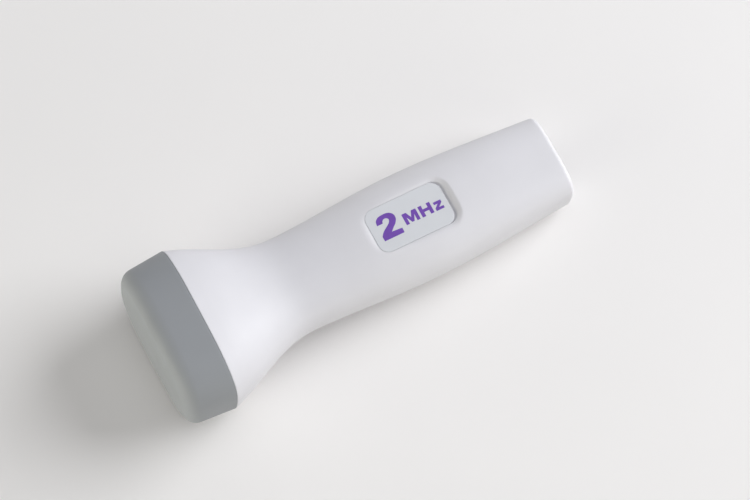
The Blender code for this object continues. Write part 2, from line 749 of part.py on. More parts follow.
def make_crystals(bench, plastic, ceramic, cork, foam, tin):
    radius = crystal_radius()
    flat_y = BARRIER_THICKNESS / 2 + GAP
    front = FACE_THICKNESS + GAP
    backing_front = front + CRYSTAL_THICKNESS + GAP
    carrier_depth = CRYSTAL_THICKNESS + GAP + BACKING_THICKNESS
    carrier_x = front + carrier_depth / 2

    window = [(y, z) for y, z in half_disc(radius + GAP, BARRIER_THICKNESS / 2, 1)]
    window += [(y, z) for y, z in half_disc(radius + GAP, BARRIER_THICKNESS / 2, -1)][::-1]
    carrier = flat_mesh("crystal_carrier", [bore_outline(GAP), window], carrier_depth)
    bench.add_part("crystal_carrier", carrier, plastic, (carrier_x, 0, 0), FACING_FORWARD)

    barrier_size = (carrier_depth, BARRIER_THICKNESS, 2 * radius)
    bench.add_part("crystal_barrier", box_mesh("crystal_barrier", barrier_size), cork, (carrier_x, 0, 0))

    for name, side in (("transmit", 1), ("receive", -1)):
        crystal = flat_mesh(name + "_crystal", [half_disc(radius, flat_y, side)], CRYSTAL_THICKNESS)
        crystal_place = (front + CRYSTAL_THICKNESS / 2, 0, 0)
        bench.add_part(name + "_crystal", crystal, ceramic, crystal_place, FACING_FORWARD)
        backing = flat_mesh(
            name + "_backing", [half_disc(radius - BACKING_STEP, flat_y, side)], BACKING_THICKNESS
        )
        backing_place = (backing_front + BACKING_THICKNESS / 2, 0, 0)
        bench.add_part(name + "_backing", backing, foam, backing_place, FACING_FORWARD)

    can_front = front + carrier_depth + GAP
    can_outline = bore_outline(GAP)
    can = bench.add_part(
        "shield_can", loft("shield_can", [(can_front, can_outline), (can_front + SHIELD_DEPTH, can_outline)]), tin
    )
    room_outline = bore_outline(GAP + SHIELD_THICKNESS)
    room_xs = (can_front + SHIELD_THICKNESS, can_front + SHIELD_DEPTH + SHIELD_THICKNESS)
    cut(can, bench.add_tool("can_room", loft("can_room", [(x, room_outline) for x in room_xs])))
    hole_diameter = LEAD_DIAMETER + 2 * LEAD_HOLE_ROOM
    for name, side in (("transmit", 1), ("receive", -1)):
        hole = bench.add_tool(
            f"{name}_lead_hole",
            cylinder_mesh("lead_hole", hole_diameter, 4 * SHIELD_THICKNESS),
            (can_front, side * lead_offset(), 0),
            (0, math.pi / 2, 0),
        )
        cut(can, hole)


def lead_offset():
    """How far from the middle line a lead starts: midway in the crystal's free margin."""
    return BARRIER_THICKNESS / 2 + GAP + crystal_radius() - BACKING_STEP / 2


def make_leads(bench, jacket):
    """Screened leads from the crystals' backs, through the can, to the front of the board."""
    start_x = FACE_THICKNESS + GAP + CRYSTAL_THICKNESS + GAP
    straight_end_x = start_x + BACKING_THICKNESS + SHIELD_DEPTH
    lie_z = PARTS_Z + LEAD_DIAMETER / 2
    for name, side in (("transmit_lead", 1), ("receive_lead", -1)):
        y = side * lead_offset()
        landing_y = side * BOARD_WIDTH / 4
        corners = [
            Vector((start_x, y, 0)),
            Vector((straight_end_x, y, 0)),
            Vector((blend(straight_end_x, BOARD_FRONT_X, 0.5), y, -lie_z)),
            Vector((BOARD_FRONT_X - LEAD_DIAMETER, landing_y + side * LEAD_DIAMETER, LEAD_DIAMETER / 2)),
            Vector((BOARD_FRONT_X + 2 * LEAD_DIAMETER, landing_y, lie_z)),
            Vector((BOARD_FRONT_X + 4 * LEAD_DIAMETER, landing_y, lie_z)),
        ]
        bench.add_part(name, wire_mesh(name, smooth_route(corners, 4), LEAD_DIAMETER), jacket)


def make_board(bench, laminate, steel):
    outline = rounded_rectangle(BOARD_LENGTH, BOARD_WIDTH, BOARD_CORNER)
    middle = (BOARD_FRONT_X + BOARD_REAR_X) / 2
    holes = [circle(x - middle, 0, SCREW_SHANK / 2 + GAP) for x in SCREW_XS]
    board = flat_mesh("circuit_board", [outline, *holes], BOARD_THICKNESS)
    bench.add_part("circuit_board", board, laminate, (middle, 0, (BOARD_TOP + BOARD_BOTTOM) / 2))

    shank = SCREW_SHANK / 2
    head = SCREW_HEAD / 2
    tip = -SCREW_LENGTH
    profile = [
        (0, SCREW_HEAD_HEIGHT), (SCREW_CROWN / 2, SCREW_HEAD_HEIGHT), (head, SCREW_HEAD_SIDE), (head, 0),
        (shank, 0), (shank, tip + shank), (SCREW_TIP / 2, tip), (0, tip),
    ]
    for name, x in zip(("board_screw_front", "board_screw_rear"), SCREW_XS):
        screw = turned(bench, name, profile, steel, (x, 0, PARTS_Z))
        slot_size = (SCREW_SLOT_LENGTH, SCREW_SLOT, 2 * SCREW_SLOT_DEPTH)
        across_size = (SCREW_SLOT, SCREW_SLOT_LENGTH, 2 * SCREW_SLOT_DEPTH)
        slot_z = PARTS_Z + SCREW_HEAD_HEIGHT
        cut(screw, bench.add_tool(name + "_slot", box_mesh("slot", slot_size), (x, 0, slot_z)))
        cut(screw, bench.add_tool(name + "_cross", box_mesh("slot", across_size), (x, 0, slot_z)))


def row_x(row):
    """X of a row of parts, counted from the front screw."""
    return SCREW_XS[0] + row * PART_SPACING


def make_coils(bench, ferrite, copper):
    core = COIL_DIAMETER / 2
    waist = COIL_WAIST / 2
    top = COIL_HEIGHT
    neck_low = COIL_FLANGE
    neck_high = COIL_HEIGHT - COIL_FLANGE
    core_profile = [
        (0, top), (core, top), (core, neck_high), (waist, neck_high),
        (waist, neck_low), (core, neck_low), (core, 0), (0, 0),
    ]
    inner = waist + GAP
    outer = core - GAP
    low = neck_low + GAP
    high = neck_high - GAP
    winding_profile = [(inner, high), (outer, high), (outer, low), (inner, low)]
    for name, side in (("transmit_coil", 1), ("receive_coil", -1)):
        coil_place = (row_x(COIL_ROW), side * COIL_SPREAD / 2, PARTS_Z)
        turned(bench, name + "_core", core_profile, ferrite, coil_place)
        turned(bench, name + "_winding", winding_profile, copper, coil_place)


def leg_strip():
    """Outline (y, z) of a pair of legs and the bar that joins them inside the chip."""
    foot = CHIP_SPAN / 2
    shin = CHIP_WIDTH / 2 + (CHIP_SPAN - CHIP_WIDTH) / 4
    t = LEG_THICKNESS
    shoulder = CHIP_HEIGHT / 2 + t / 2
    right = [(foot, 0), (foot, t), (shin + t, t), (shin + t, shoulder)]
    left = [(-y, z) for y, z in right[::-1]]
    under = [(-foot, 0), (-shin, 0), (-shin, shoulder - t), (shin, shoulder - t), (shin, 0)]
    return right + left[:-1] + under


def make_chips(bench, epoxy):
    lift = LEG_THICKNESS / 2
    x = row_x(CHIP_ROW)
    for name, side in (("driver_chip", 1), ("receiver_chip", -1)):
        y = side * BOARD_WIDTH / 4
        body = box_mesh(name, (CHIP_LENGTH, CHIP_WIDTH, CHIP_HEIGHT), LEG_THICKNESS / 2)
        chip = bench.add_part(name, body, epoxy, (x, y, PARTS_Z + lift + CHIP_HEIGHT / 2))
        for leg in range(LEGS_A_SIDE):
            leg_x = x + (leg - (LEGS_A_SIDE - 1) / 2) * LEG_PITCH
            strip = bench.add_tool(
                f"{name}_legs_{leg + 1}",
                flat_mesh("legs", [leg_strip()], LEG_WIDTH),
                (leg_x, y, PARTS_Z),
                FACING_FORWARD,
            )
            join(chip, strip)


def make_trimmer(bench, ceramic):
    body = TRIMMER_DIAMETER / 2
    rotor = TRIMMER_ROTOR / 2
    profile = [
        (0, TRIMMER_HEIGHT), (rotor, TRIMMER_HEIGHT), (rotor, TRIMMER_STEP),
        (body, TRIMMER_STEP), (body, 0), (0, 0),
    ]
    x = row_x(TRIMMER_ROW)
    trimmer = turned(bench, "trimmer_capacitor", profile, ceramic, (x, 0, PARTS_Z))
    slot_size = (2 * TRIMMER_ROTOR, SCREW_SLOT, 2 * TRIMMER_SLOT_DEPTH)
    cut(trimmer, bench.add_tool("trimmer_slot", box_mesh("slot", slot_size), (x, 0, PARTS_Z + TRIMMER_HEIGHT)))


def make_supply_capacitor(bench, aluminium):
    """Small can with a waist above its base, as a crimped can has."""
    radius = CAPACITOR_DIAMETER / 2
    waist = radius - CAPACITOR_CRIMP
    top = CAPACITOR_HEIGHT
    crimp_low = CAPACITOR_CRIMP_RISE
    crimp_high = crimp_low + 2 * CAPACITOR_CRIMP
    profile = [
        (0, top), (waist, top), (radius, top - CAPACITOR_CRIMP), (radius, crimp_high),
        (waist, (crimp_low + crimp_high) / 2), (radius, crimp_low), (radius, 0), (0, 0),
    ]
    turned(bench, "supply_capacitor", profile, aluminium, (row_x(CAPACITOR_ROW), 0, PARTS_Z))


def make_jack(bench, black, gold):
    housing_length = JACK_MOUTH_X - JACK_BACK_X
    housing = bench.add_part(
        "jack_housing",
        box_mesh("jack_housing", (housing_length, JACK_WIDTH, JACK_HEIGHT)),
        black,
        (JACK_BACK_X + housing_length / 2, 0, 0),
    )
    ear_x = BODY_LENGTH - REAR_WALL - GAP - EAR_THICKNESS / 2
    ears_size = (EAR_THICKNESS, JACK_WIDTH + 2 * EAR_REACH, EAR_HEIGHT)
    join(housing, bench.add_tool("ears", box_mesh("ears", ears_size), (ear_x, 0, 0)))

    cavity_depth = PLUG_DEPTH + JACK_WALL
    cavity_x = JACK_MOUTH_X - PLUG_DEPTH + cavity_depth / 2
    plug_z = JACK_CEILING - PLUG_HEIGHT / 2
    plug_size = (cavity_depth, PLUG_WIDTH, PLUG_HEIGHT)
    plug = bench.add_tool("plug_room", box_mesh("plug_room", plug_size), (cavity_x, 0, plug_z))
    latch_height = LATCH_HEIGHT + JACK_WALL
    latch_z = JACK_CEILING - PLUG_HEIGHT - LATCH_HEIGHT + latch_height / 2
    latch_size = (cavity_depth, LATCH_WIDTH, latch_height)
    latch = bench.add_tool("latch_room", box_mesh("latch_room", latch_size), (cavity_x, 0, latch_z))
    slot_height = CONTACT_WIRE + 2 * GAP
    slot_width = CONTACTS * CONTACT_PITCH + 2 * GAP
    slot_size = (3 * JACK_BACK, slot_width, slot_height)
    slot_z = JACK_CEILING - slot_height / 2
    slot = bench.add_tool("contact_slot", box_mesh("contact_slot", slot_size), (JACK_BACK_X, 0, slot_z))
    cut(housing, plug, latch, slot)

    wire_z = JACK_CEILING - GAP - CONTACT_WIRE / 2
    lie_z = PARTS_Z + CONTACT_WIRE / 2
    turn = 2 * CONTACT_WIRE
    mouth_x = JACK_MOUTH_X - 3 * turn
    free_x = mouth_x - CONTACT_FREE_LENGTH
    rise_x = blend(BOARD_REAR_X, JACK_BACK_X, 0.5)
    for number in range(CONTACTS):
        y = (number - (CONTACTS - 1) / 2) * CONTACT_PITCH
        corners = [
            Vector((BOARD_REAR_X - CONTACT_LANDING, y, lie_z)),
            Vector((rise_x - turn, y, lie_z)),
            Vector((rise_x, y, lie_z + turn)),
            Vector((rise_x, y, wire_z - turn)),
            Vector((rise_x + turn, y, wire_z)),
            Vector((JACK_BACK_X + JACK_BACK + turn, y, wire_z)),
            Vector((mouth_x - turn, y, wire_z)),
            Vector((mouth_x, y, wire_z - turn / 2)),
            Vector((mouth_x - turn, y, wire_z - turn)),
            Vector((free_x, y, JACK_CEILING - CONTACT_DIP)),
        ]
        name = f"jack_contact_{number + 1}"
        bench.add_part(name, wire_mesh(name, smooth_route(corners, 2), CONTACT_WIRE), gold)


def make_label_plate(bench, film):
    (x, _, floor_z), turn = recess_place()
    lift = GAP / 2 + PLATE_THICKNESS / 2
    outline = rounded_rectangle(
        RECESS_FLOOR_LENGTH - 2 * GAP, RECESS_FLOOR_WIDTH - 2 * GAP, RECESS_FLOOR_RADIUS - GAP
    )
    plate = flat_mesh("label_plate", [outline], PLATE_THICKNESS)
    bench.add_part("label_plate", plate, film, (x, 0, floor_z + lift), turn)


def lay_down(bench):
    """Leans the probe onto its head's rim and rear end, and centres it over the origin."""
    bench.axis.rotation_euler = (0, math.atan(resting_slope()), 0)
    bpy.context.view_layer.update()
    graph = bpy.context.evaluated_depsgraph_get()
    points = []
    for name in ("nose_cap", "upper_shell", "lower_shell"):
        obj = bpy.data.objects[name].evaluated_get(graph)
        points += [obj.matrix_world @ vertex.co for vertex in obj.data.vertices]
    low = Vector([min(point[k] for point in points) for k in range(3)])
    high = Vector([max(point[k] for point in points) for k in range(3)])
    middle = (low + high) / 2
    bench.axis.location = (-middle.x, -middle.y, -low.z)


def main():
    for obj in list(bpy.data.objects):
        bpy.data.objects.remove(obj)
    bench = Bench()
    white = new_material("white ABS", (0.78, 0.78, 0.80), 0.42)
    make_shells(bench, white)
    make_nose_cap(bench, new_material("grey ABS", (0.28, 0.30, 0.32), 0.5))
    make_label_plate(bench, new_material("polycarbonate film", (0.72, 0.76, 0.80), 0.35))
    make_seal(bench, new_material("silicone rubber", (0.05, 0.05, 0.055), 0.7))
    make_crystals(
        bench,
        new_material("carrier nylon", (0.08, 0.08, 0.09), 0.55),
        new_material("piezo ceramic", (0.62, 0.55, 0.42), 0.4),
        new_material("cork", (0.42, 0.27, 0.14), 0.9),
        new_material("backing foam", (0.12, 0.12, 0.13), 0.95),
        new_material("tinned steel", (0.72, 0.72, 0.70), 0.3, 1.0),
    )
    make_leads(bench, new_material("lead jacket", (0.10, 0.10, 0.11), 0.5))
    steel = new_material("zinc plated steel", (0.65, 0.66, 0.68), 0.32, 1.0)
    make_board(bench, new_material("glass fibre laminate", (0.03, 0.20, 0.09), 0.4), steel)
    make_coils(
        bench,
        new_material("ferrite", (0.05, 0.05, 0.055), 0.6),
        new_material("enamelled copper", (0.65, 0.25, 0.09), 0.35, 0.8),
    )
    make_chips(bench, new_material("moulding epoxy", (0.03, 0.03, 0.032), 0.55))
    make_trimmer(bench, new_material("trimmer ceramic", (0.70, 0.62, 0.45), 0.5))
    make_supply_capacitor(bench, new_material("drawn aluminium", (0.80, 0.80, 0.81), 0.3, 1.0))
    make_jack(
        bench,
        new_material("black nylon", (0.02, 0.02, 0.022), 0.5),
        new_material("gold plate", (0.83, 0.60, 0.22), 0.25, 1.0),
    )
    lay_down(bench)


if __name__ == "__main__":
    main()
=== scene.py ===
"""Looks of a handheld ultrasound probe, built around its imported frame.

Everything is in metres. The probe's own frame has its origin in the middle of the acoustic face and runs
along +X to the cord socket, and the record's acoustic_face mount says how it leans on the table.
"""

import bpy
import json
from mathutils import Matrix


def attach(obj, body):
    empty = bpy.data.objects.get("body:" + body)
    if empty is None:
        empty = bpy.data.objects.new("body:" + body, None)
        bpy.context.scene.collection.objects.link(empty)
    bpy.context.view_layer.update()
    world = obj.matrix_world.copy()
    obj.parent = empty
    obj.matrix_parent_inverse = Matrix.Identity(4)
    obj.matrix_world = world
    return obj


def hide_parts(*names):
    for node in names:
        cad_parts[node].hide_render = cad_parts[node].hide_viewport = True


bl_info = {
    "name": "Ultrasound Probe Looks",
    "version": (1, 0, 0),
    "blender": (4, 5, 0),
    "location": "3D View > Sidebar > Probe",
    "description": "Fine surfaces, print and studio for a handheld ultrasound probe",
    "category": "Object",
}

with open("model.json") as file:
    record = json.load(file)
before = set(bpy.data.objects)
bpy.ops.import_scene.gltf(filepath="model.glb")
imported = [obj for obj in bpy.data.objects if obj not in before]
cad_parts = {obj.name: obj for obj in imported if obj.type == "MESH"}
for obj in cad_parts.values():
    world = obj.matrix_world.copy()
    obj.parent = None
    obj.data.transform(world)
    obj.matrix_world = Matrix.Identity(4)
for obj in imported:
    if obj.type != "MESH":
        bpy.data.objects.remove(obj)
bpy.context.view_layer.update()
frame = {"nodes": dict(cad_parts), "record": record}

import functools
import json
import math

import bmesh
import bpy
from mathutils import Matrix, Vector

MM = 0.001
BODY = "root"

# Form of the body, as in the frame: stretches along X, then full widths and heights
RIM_X = 13.1 * MM
SHOULDER_X = 20.2 * MM
FLARE_X = 27.2 * MM
NECK_X = 38.5 * MM
BELLY_X = 76.0 * MM
BODY_LENGTH = 118.0 * MM
WIDTHS = (43.8 * MM, 38.9 * MM, 32.1 * MM, 26.1 * MM, 29.4 * MM, 24.0 * MM)
HEIGHTS = (32.2 * MM, 28.3 * MM, 23.0 * MM, 18.3 * MM, 20.8 * MM, 16.8 * MM)
FACE_WIDTH = 41.7 * MM
FACE_HEIGHT = 31.0 * MM
HEAD_SQUARENESS = 3.0
GRIP_SQUARENESS = 2.6
REAR_SQUARENESS = 3.45
FLOW_REACH = 4.5 * MM

# Walls and joints between the mouldings
WALL = 2.0 * MM
REAR_WALL = 2.4 * MM
FIT_GAP = 0.3 * MM
SHUT_GAP = 0.06 * MM
SEAL_CORD = 0.8 * MM
SPIGOT_LENGTH = 3.4 * MM
SPIGOT_WALL = 1.3 * MM
FACE_THICKNESS = 2.2 * MM
FACE_FILLET = 3.2 * MM
FACE_ROLL = 4.6 * MM  # length of the rounding around the face, at its top and underside
REAR_FILLET = 1.3 * MM

# Recess on top
RECESS_LENGTH = 24.6 * MM
RECESS_WIDTH = 13.6 * MM
RECESS_RADIUS = 3.4 * MM
RECESS_DEPTH = 1.45 * MM
RECESS_DRAFT = 0.7 * MM
RECESS_REAR_DRAFT = 1.8 * MM
RECESS_REAR_CURVE = 1.2  # over 1, the rear wall flattens as it rises
RECESS_TILT = math.radians(1.2)
RECESS_SHIFT = (RECESS_REAR_DRAFT - RECESS_DRAFT) / 2
RECESS_X = BELLY_X - 1.0 * MM - RECESS_SHIFT
RECESS_FLOOR = 1.3 * MM  # thickness of the shell under the film
RECESS_MARGIN = 3.2 * MM  # of skin before and behind the mouth that is made with the recess
PAD_MARGIN = 2.2 * MM  # how far the pad under the floor reaches past the mouth's ends
MOUTH_LEAN = 0.2  # lean of the mouth's rounding at its foot, as a share of its reach beyond the rear one's
FLOOR_LENGTH = RECESS_LENGTH - RECESS_DRAFT - RECESS_REAR_DRAFT
FLOOR_WIDTH = RECESS_WIDTH - 2 * RECESS_DRAFT
FLOOR_RADIUS = RECESS_RADIUS - RECESS_DRAFT
FILM_THICKNESS = 0.4 * MM
FILM_TOP = FIT_GAP / 2 + FILM_THICKNESS
FILM_BAND = 0.3 * MM  # ring inside the film's rounded edge, which keeps its top flat in smooth shading

# Print, from the middle of the recess's mouth
FIGURE_LEFT = -9.8 * MM
FIGURE_FOOT = -3.05 * MM
LETTERS_LEFT = -2.45 * MM
LETTERS_FOOT = -1.65 * MM
LETTER_SPACE = 0.65 * MM

# Cord socket
SOCKET_WIDTH = 11.7 * MM
SOCKET_HEIGHT = 10.6 * MM
HOLE_SQUARENESS = 20.0
PLUG_WIDTH = 9.9 * MM
PLUG_HEIGHT = 6.8 * MM
PLUG_DEPTH = 12.0 * MM
LATCH_WIDTH = 6.2 * MM
LATCH_HEIGHT = 2.0 * MM
SOCKET_WALL = 0.9 * MM
SOCKET_BACK = 1.8 * MM
SOCKET_RECESS = 0.4 * MM
EAR_REACH = 2.2 * MM
EAR_THICKNESS = 1.2 * MM
EAR_HEIGHT = 6.0 * MM
CONTACTS = 4
CONTACT_PITCH = 1.02 * MM
CONTACT_PLACES = [(number - (CONTACTS - 1) / 2) * CONTACT_PITCH for number in range(CONTACTS)]
CONTACT_WIRE = 0.44 * MM
GROOVE_HALF = CONTACT_WIRE / 2 + 0.1 * MM
GROOVE_DEPTH = 0.35 * MM
GROOVE_SIDES = (-1.1, -0.9, 0.9, 1.1)  # just outside and inside its walls, in shares of its half width
COMB_LENGTH = 1.4 * MM
PLUG_CORNER = 0.25 * MM
SOCKET_CORNER = 0.5 * MM
SOCKET_EDGE = 0.12 * MM
LEAST_TURN = 0.004  # radians between two points of the socket's sections
NEAR = 0.01 * MM  # so close that a point counts as lying on a surface

# Fineness of the skins around their sections
SIDE_STEPS = 30
CROWN_STEPS = 30
EDGE_STEPS = 4
CAP_STEPS = 200
FILM_STEPS = (60, 36)
CROWN_HALF = 9.4 * MM  # half the width of the crown, the stretch on top that holds the recess
CROWN_FIRST = EDGE_STEPS + SIDE_STEPS  # place of the crown's +Y edge in a row of the shell
CROWN_LAST = CROWN_FIRST + CROWN_STEPS

# Fineness of the skins along the body: places in each stretch with both of its ends, and steps of fillets
HEAD_PLACES = 22
NECK_PLACES = 16
GRIP_PLACES = 26
RECESS_PLACES = 45
REAR_PLACES = 30
CAP_PLACES = 12
SPIGOT_PLACES = 5
MOUTH_PLACES = 11
WALL_PLACES = 6
TOE_PLACES = 5
FACE_STEPS = 16
REAR_STEPS = 12
FACE_RINGS = (9 * MM, 6 * MM, 3 * MM)  # how far inside the flat face's edge its own rings lie
PATCH_SHARES = (0.3, 0.6, 0.85)  # rows between the border of the recess's patch and its lip
REAR_SHARES = (0.35, 0.7)  # rows between the rear end's fillet and the socket's hole


def linear(hex_colour):
    """Linear RGB of an sRGB hex colour."""
    channels = []
    for start in (1, 3, 5):
        value = int(hex_colour[start:start + 2], 16) / 255
        channels.append(value / 12.92 if value <= 0.04045 else ((value + 0.055) / 1.055) ** 2.4)
    return tuple(channels)


def probe_matrix():
    """Places the probe's own frame in the row frame, by the acoustic face's mount."""
    mount = next(m for m in frame["record"]["mounts"] if m["name"] == "acoustic_face")
    lean = math.atan2(mount["axis"][2], -mount["axis"][0])
    return Matrix.Translation(mount["pos_m"]) @ Matrix.Rotation(lean, 4, "Y")


class ProbeForm(bpy.types.PropertyGroup):
    """Sizes of the fine forms that the frame leaves plain."""

    edge_round: bpy.props.FloatProperty(
        name="Edge Round", description="Radius of the shells' and the cap's moulded edges",
        default=0.10 * MM, min=0.02 * MM, max=0.4 * MM, unit="LENGTH", precision=5,
    )
    mouth_round: bpy.props.FloatProperty(
        name="Mouth Round", description="How far down its walls the rounding of the recess's mouth goes",
        default=0.55 * MM, min=0.1 * MM, max=0.7 * MM, unit="LENGTH", precision=5,
    )
    mouth_reach: bpy.props.FloatProperty(
        name="Mouth Reach", description="How far out over the skin the rounding of the recess's mouth goes",
        default=2.1 * MM, min=0.1 * MM, max=2.2 * MM, unit="LENGTH", precision=5,
    )
    rear_reach: bpy.props.FloatProperty(
        name="Rear Mouth Reach", description="The same at the recess's rear wall, whose edge is crisper",
        default=0.4 * MM, min=0.1 * MM, max=2.2 * MM, unit="LENGTH", precision=5,
    )
    floor_round: bpy.props.FloatProperty(
        name="Floor Round", description="Width of the rounding between the recess's walls and floor",
        default=0.12 * MM, min=0.05 * MM, max=0.3 * MM, unit="LENGTH", precision=5,
    )
    film_round: bpy.props.FloatProperty(
        name="Film Edge Round", description="Radius of the label film's upper edge",
        default=0.06 * MM, min=0.02 * MM, max=0.2 * MM, unit="LENGTH", precision=5,
    )
    figure_height: bpy.props.FloatProperty(
        name="Figure Height", description="Height of the printed figure",
        default=7.05 * MM, min=2 * MM, max=9 * MM, unit="LENGTH", precision=5,
    )
    letter_height: bpy.props.FloatProperty(
        name="Letter Height", description="Height of the printed capitals",
        default=3.2 * MM, min=1 * MM, max=5 * MM, unit="LENGTH", precision=5,
    )
    ink_thickness: bpy.props.FloatProperty(
        name="Ink Thickness", description="How far the screen-printed ink stands on the film",
        default=0.02 * MM, min=0.005 * MM, max=0.1 * MM, unit="LENGTH", precision=6,
    )
    socket_chamfer: bpy.props.FloatProperty(
        name="Socket Lead-in", description="Chamfer that guides the plug into the socket's mouth",
        default=0.35 * MM, min=0.1 * MM, max=0.6 * MM, unit="LENGTH", precision=5,
    )


class ProbeFinish(bpy.types.PropertyGroup):
    """Colours of the surfaces in view."""

    shell: bpy.props.FloatVectorProperty(
        name="Shell", description="White ABS of the handle", subtype="COLOR",
        default=linear("#D5D4D8"), min=0.0, max=1.0,
    )
    cap: bpy.props.FloatVectorProperty(
        name="Nose Cap", description="Grey ABS of the cap", subtype="COLOR",
        default=linear("#8D9094"), min=0.0, max=1.0,
    )
    film: bpy.props.FloatVectorProperty(
        name="Label Film", description="Polycarbonate film in the recess", subtype="COLOR",
        default=linear("#CFD1D5"), min=0.0, max=1.0,
    )
    ink: bpy.props.FloatVectorProperty(
        name="Ink", description="Screen-printed ink of the lettering", subtype="COLOR",
        default=linear("#65399F"), min=0.0, max=1.0,
    )
    floor: bpy.props.FloatVectorProperty(
        name="Floor", description="Pale table top under the probe", subtype="COLOR",
        default=linear("#F0EEED"), min=0.0, max=1.0,
    )


class ProbeStudio(bpy.types.PropertyGroup):
    """Camera and light."""

    distance: bpy.props.FloatProperty(
        name="Camera Distance", description="From the camera to the point it looks at",
        default=0.7904, min=0.2, max=3.0, unit="LENGTH",
    )
    elevation: bpy.props.FloatProperty(
        name="Camera Elevation", description="Of the camera above the table",
        default=math.radians(72.574), min=0.1, max=math.radians(89.0), unit="ROTATION",
    )
    turn: bpy.props.FloatProperty(
        name="Camera Turn", description="How far the probe is turned in the picture",
        default=math.radians(27.991), min=-math.pi, max=math.pi, unit="ROTATION",
    )
    aim_x: bpy.props.FloatProperty(
        name="Aim X", description="Place on the table that the camera looks at",
        default=7.07 * MM, min=-0.1, max=0.1, unit="LENGTH", precision=5,
    )
    aim_y: bpy.props.FloatProperty(
        name="Aim Y", description="Place on the table that the camera looks at",
        default=2.18 * MM, min=-0.1, max=0.1, unit="LENGTH", precision=5,
    )
    lens: bpy.props.FloatProperty(
        name="Lens", description="Focal length on a 36 mm wide sensor",
        default=142.8, min=20.0, max=300.0, unit="CAMERA",
    )
    key_power: bpy.props.FloatProperty(
        name="Key Light", description="Power of the wide soft lamp beyond the rear end",
        default=19.5, min=0.0, max=200.0, unit="POWER",
    )
    key_turn: bpy.props.FloatProperty(
        name="Key Turn", description="Direction of the key lamp, from the probe's length",
        default=math.radians(-5.0), min=-math.pi, max=math.pi, unit="ROTATION",
    )
    key_rise: bpy.props.FloatProperty(
        name="Key Rise", description="Height of the key lamp over the table, as an angle",
        default=math.radians(30.0), min=0.0, max=math.pi / 2, unit="ROTATION",
    )
    top_power: bpy.props.FloatProperty(
        name="Top Light", description="Power of the soft lamp right above the probe",
        default=2.9, min=0.0, max=100.0, unit="POWER",
    )
    front_power: bpy.props.FloatProperty(
        name="Front Card", description="Power of the long low bounce card before the head",
        default=31.5, min=0.0, max=200.0, unit="POWER",
    )
    near_power: bpy.props.FloatProperty(
        name="Near Card", description="Power of the long low bounce card on the camera's side",
        default=5.8, min=0.0, max=200.0, unit="POWER",
    )
    sky_level: bpy.props.FloatProperty(
        name="Sky Level", description="Brightness of the even light from all round",
        default=0.245, min=0.0, max=2.0,
    )


def steady_slopes(xs, ys):
    """Slopes of a smooth curve through the points that never overshoots them."""
    steps = [(ys[i + 1] - ys[i]) / (xs[i + 1] - xs[i]) for i in range(len(xs) - 1)]
    slopes = [steps[0]]
    for before, after in zip(steps, steps[1:]):
        if before * after <= 0:
            slopes.append(0.0)
        else:
            slopes.append(2 * before * after / (before + after))
    slopes.append(steps[-1])
    return slopes


def smooth_value(xs, ys, x):
    """Value at x of the smooth curve through the points."""
    if x <= xs[0]:
        return ys[0]
    if x >= xs[-1]:
        return ys[-1]
    slopes = steady_slopes(xs, ys)
    i = max(k for k in range(len(xs) - 1) if xs[k] <= x)
    run = xs[i + 1] - xs[i]
    t = (x - xs[i]) / run
    rise = (3 - 2 * t) * t * t
    ease_out = t * (1 - t) ** 2 * run
    ease_in = t * t * (t - 1) * run
    return ys[i] * (1 - rise) + ys[i + 1] * rise + slopes[i] * ease_out + slopes[i + 1] * ease_in


def blend(low, high, share):
    return low + (high - low) * share


def spread(start, end, count):
    """Evenly spaced values from start to end."""
    return [blend(start, end, i / (count - 1)) for i in range(count)]


def flowing_value(sizes, x):
    """Size of the handle at x, with the changes of curvature at its stations spread out."""
    stations = (RIM_X, SHOULDER_X, FLARE_X, NECK_X, BELLY_X, BODY_LENGTH)
    reach_x = min(FLOW_REACH, x - RIM_X, BODY_LENGTH - x)
    total = 0.0
    for step, weight in ((-1.0, 1), (-0.5, 2), (0.0, 2), (0.5, 2), (1.0, 1)):
        total += weight * smooth_value(stations, sizes, x + step * reach_x)
    return total / 8


@functools.lru_cache(maxsize=None)
def half_width(x):
    if x <= RIM_X:
        return blend(FACE_WIDTH, WIDTHS[0], x / RIM_X) / 2
    return flowing_value(WIDTHS, x) / 2


@functools.lru_cache(maxsize=None)
def half_height(x):
    if x <= RIM_X:
        return blend(FACE_HEIGHT, HEIGHTS[0], x / RIM_X) / 2
    return flowing_value(HEIGHTS, x) / 2


def squareness(x):
    xs = (RIM_X, NECK_X, BELLY_X, BODY_LENGTH)
    return smooth_value(xs, (HEAD_SQUARENESS, GRIP_SQUARENESS, GRIP_SQUARENESS, REAR_SQUARENESS), x)


def crown_height(x, y):
    """Height of the body's upper skin over the seam plane."""
    share = abs(y) / half_width(x)
    exponent = squareness(x)
    return half_height(x) * max(0.0, 1 - share ** exponent) ** (1 / exponent)


def oval_point(half_w, half_h, exponent, angle):
    """Point (y, z) of a superellipse."""
    c = math.cos(angle)
    s = math.sin(angle)
    y = math.copysign(abs(c) ** (2 / exponent), c) * half_w
    z = math.copysign(abs(s) ** (2 / exponent), s) * half_h
    return y, z


def even_arc(half_w, half_h, exponent, start, end, count):
    """Points of a superellipse from one angle to another, evenly spaced along it."""
    fine = 240
    angles = spread(start, end, fine + 1)
    points = [oval_point(half_w, half_h, exponent, angle) for angle in angles]
    reached = [0.0]
    for before, after in zip(points, points[1:]):
        reached.append(reached[-1] + math.dist(before, after))
    arc = []
    k = 0
    for i in range(count + 1):
        target = reached[-1] * i / count
        while k < fine - 1 and reached[k + 1] < target:
            k += 1
        share = (target - reached[k]) / (reached[k + 1] - reached[k])
        arc.append(oval_point(half_w, half_h, exponent, blend(angles[k], angles[k + 1], share)))
    return arc


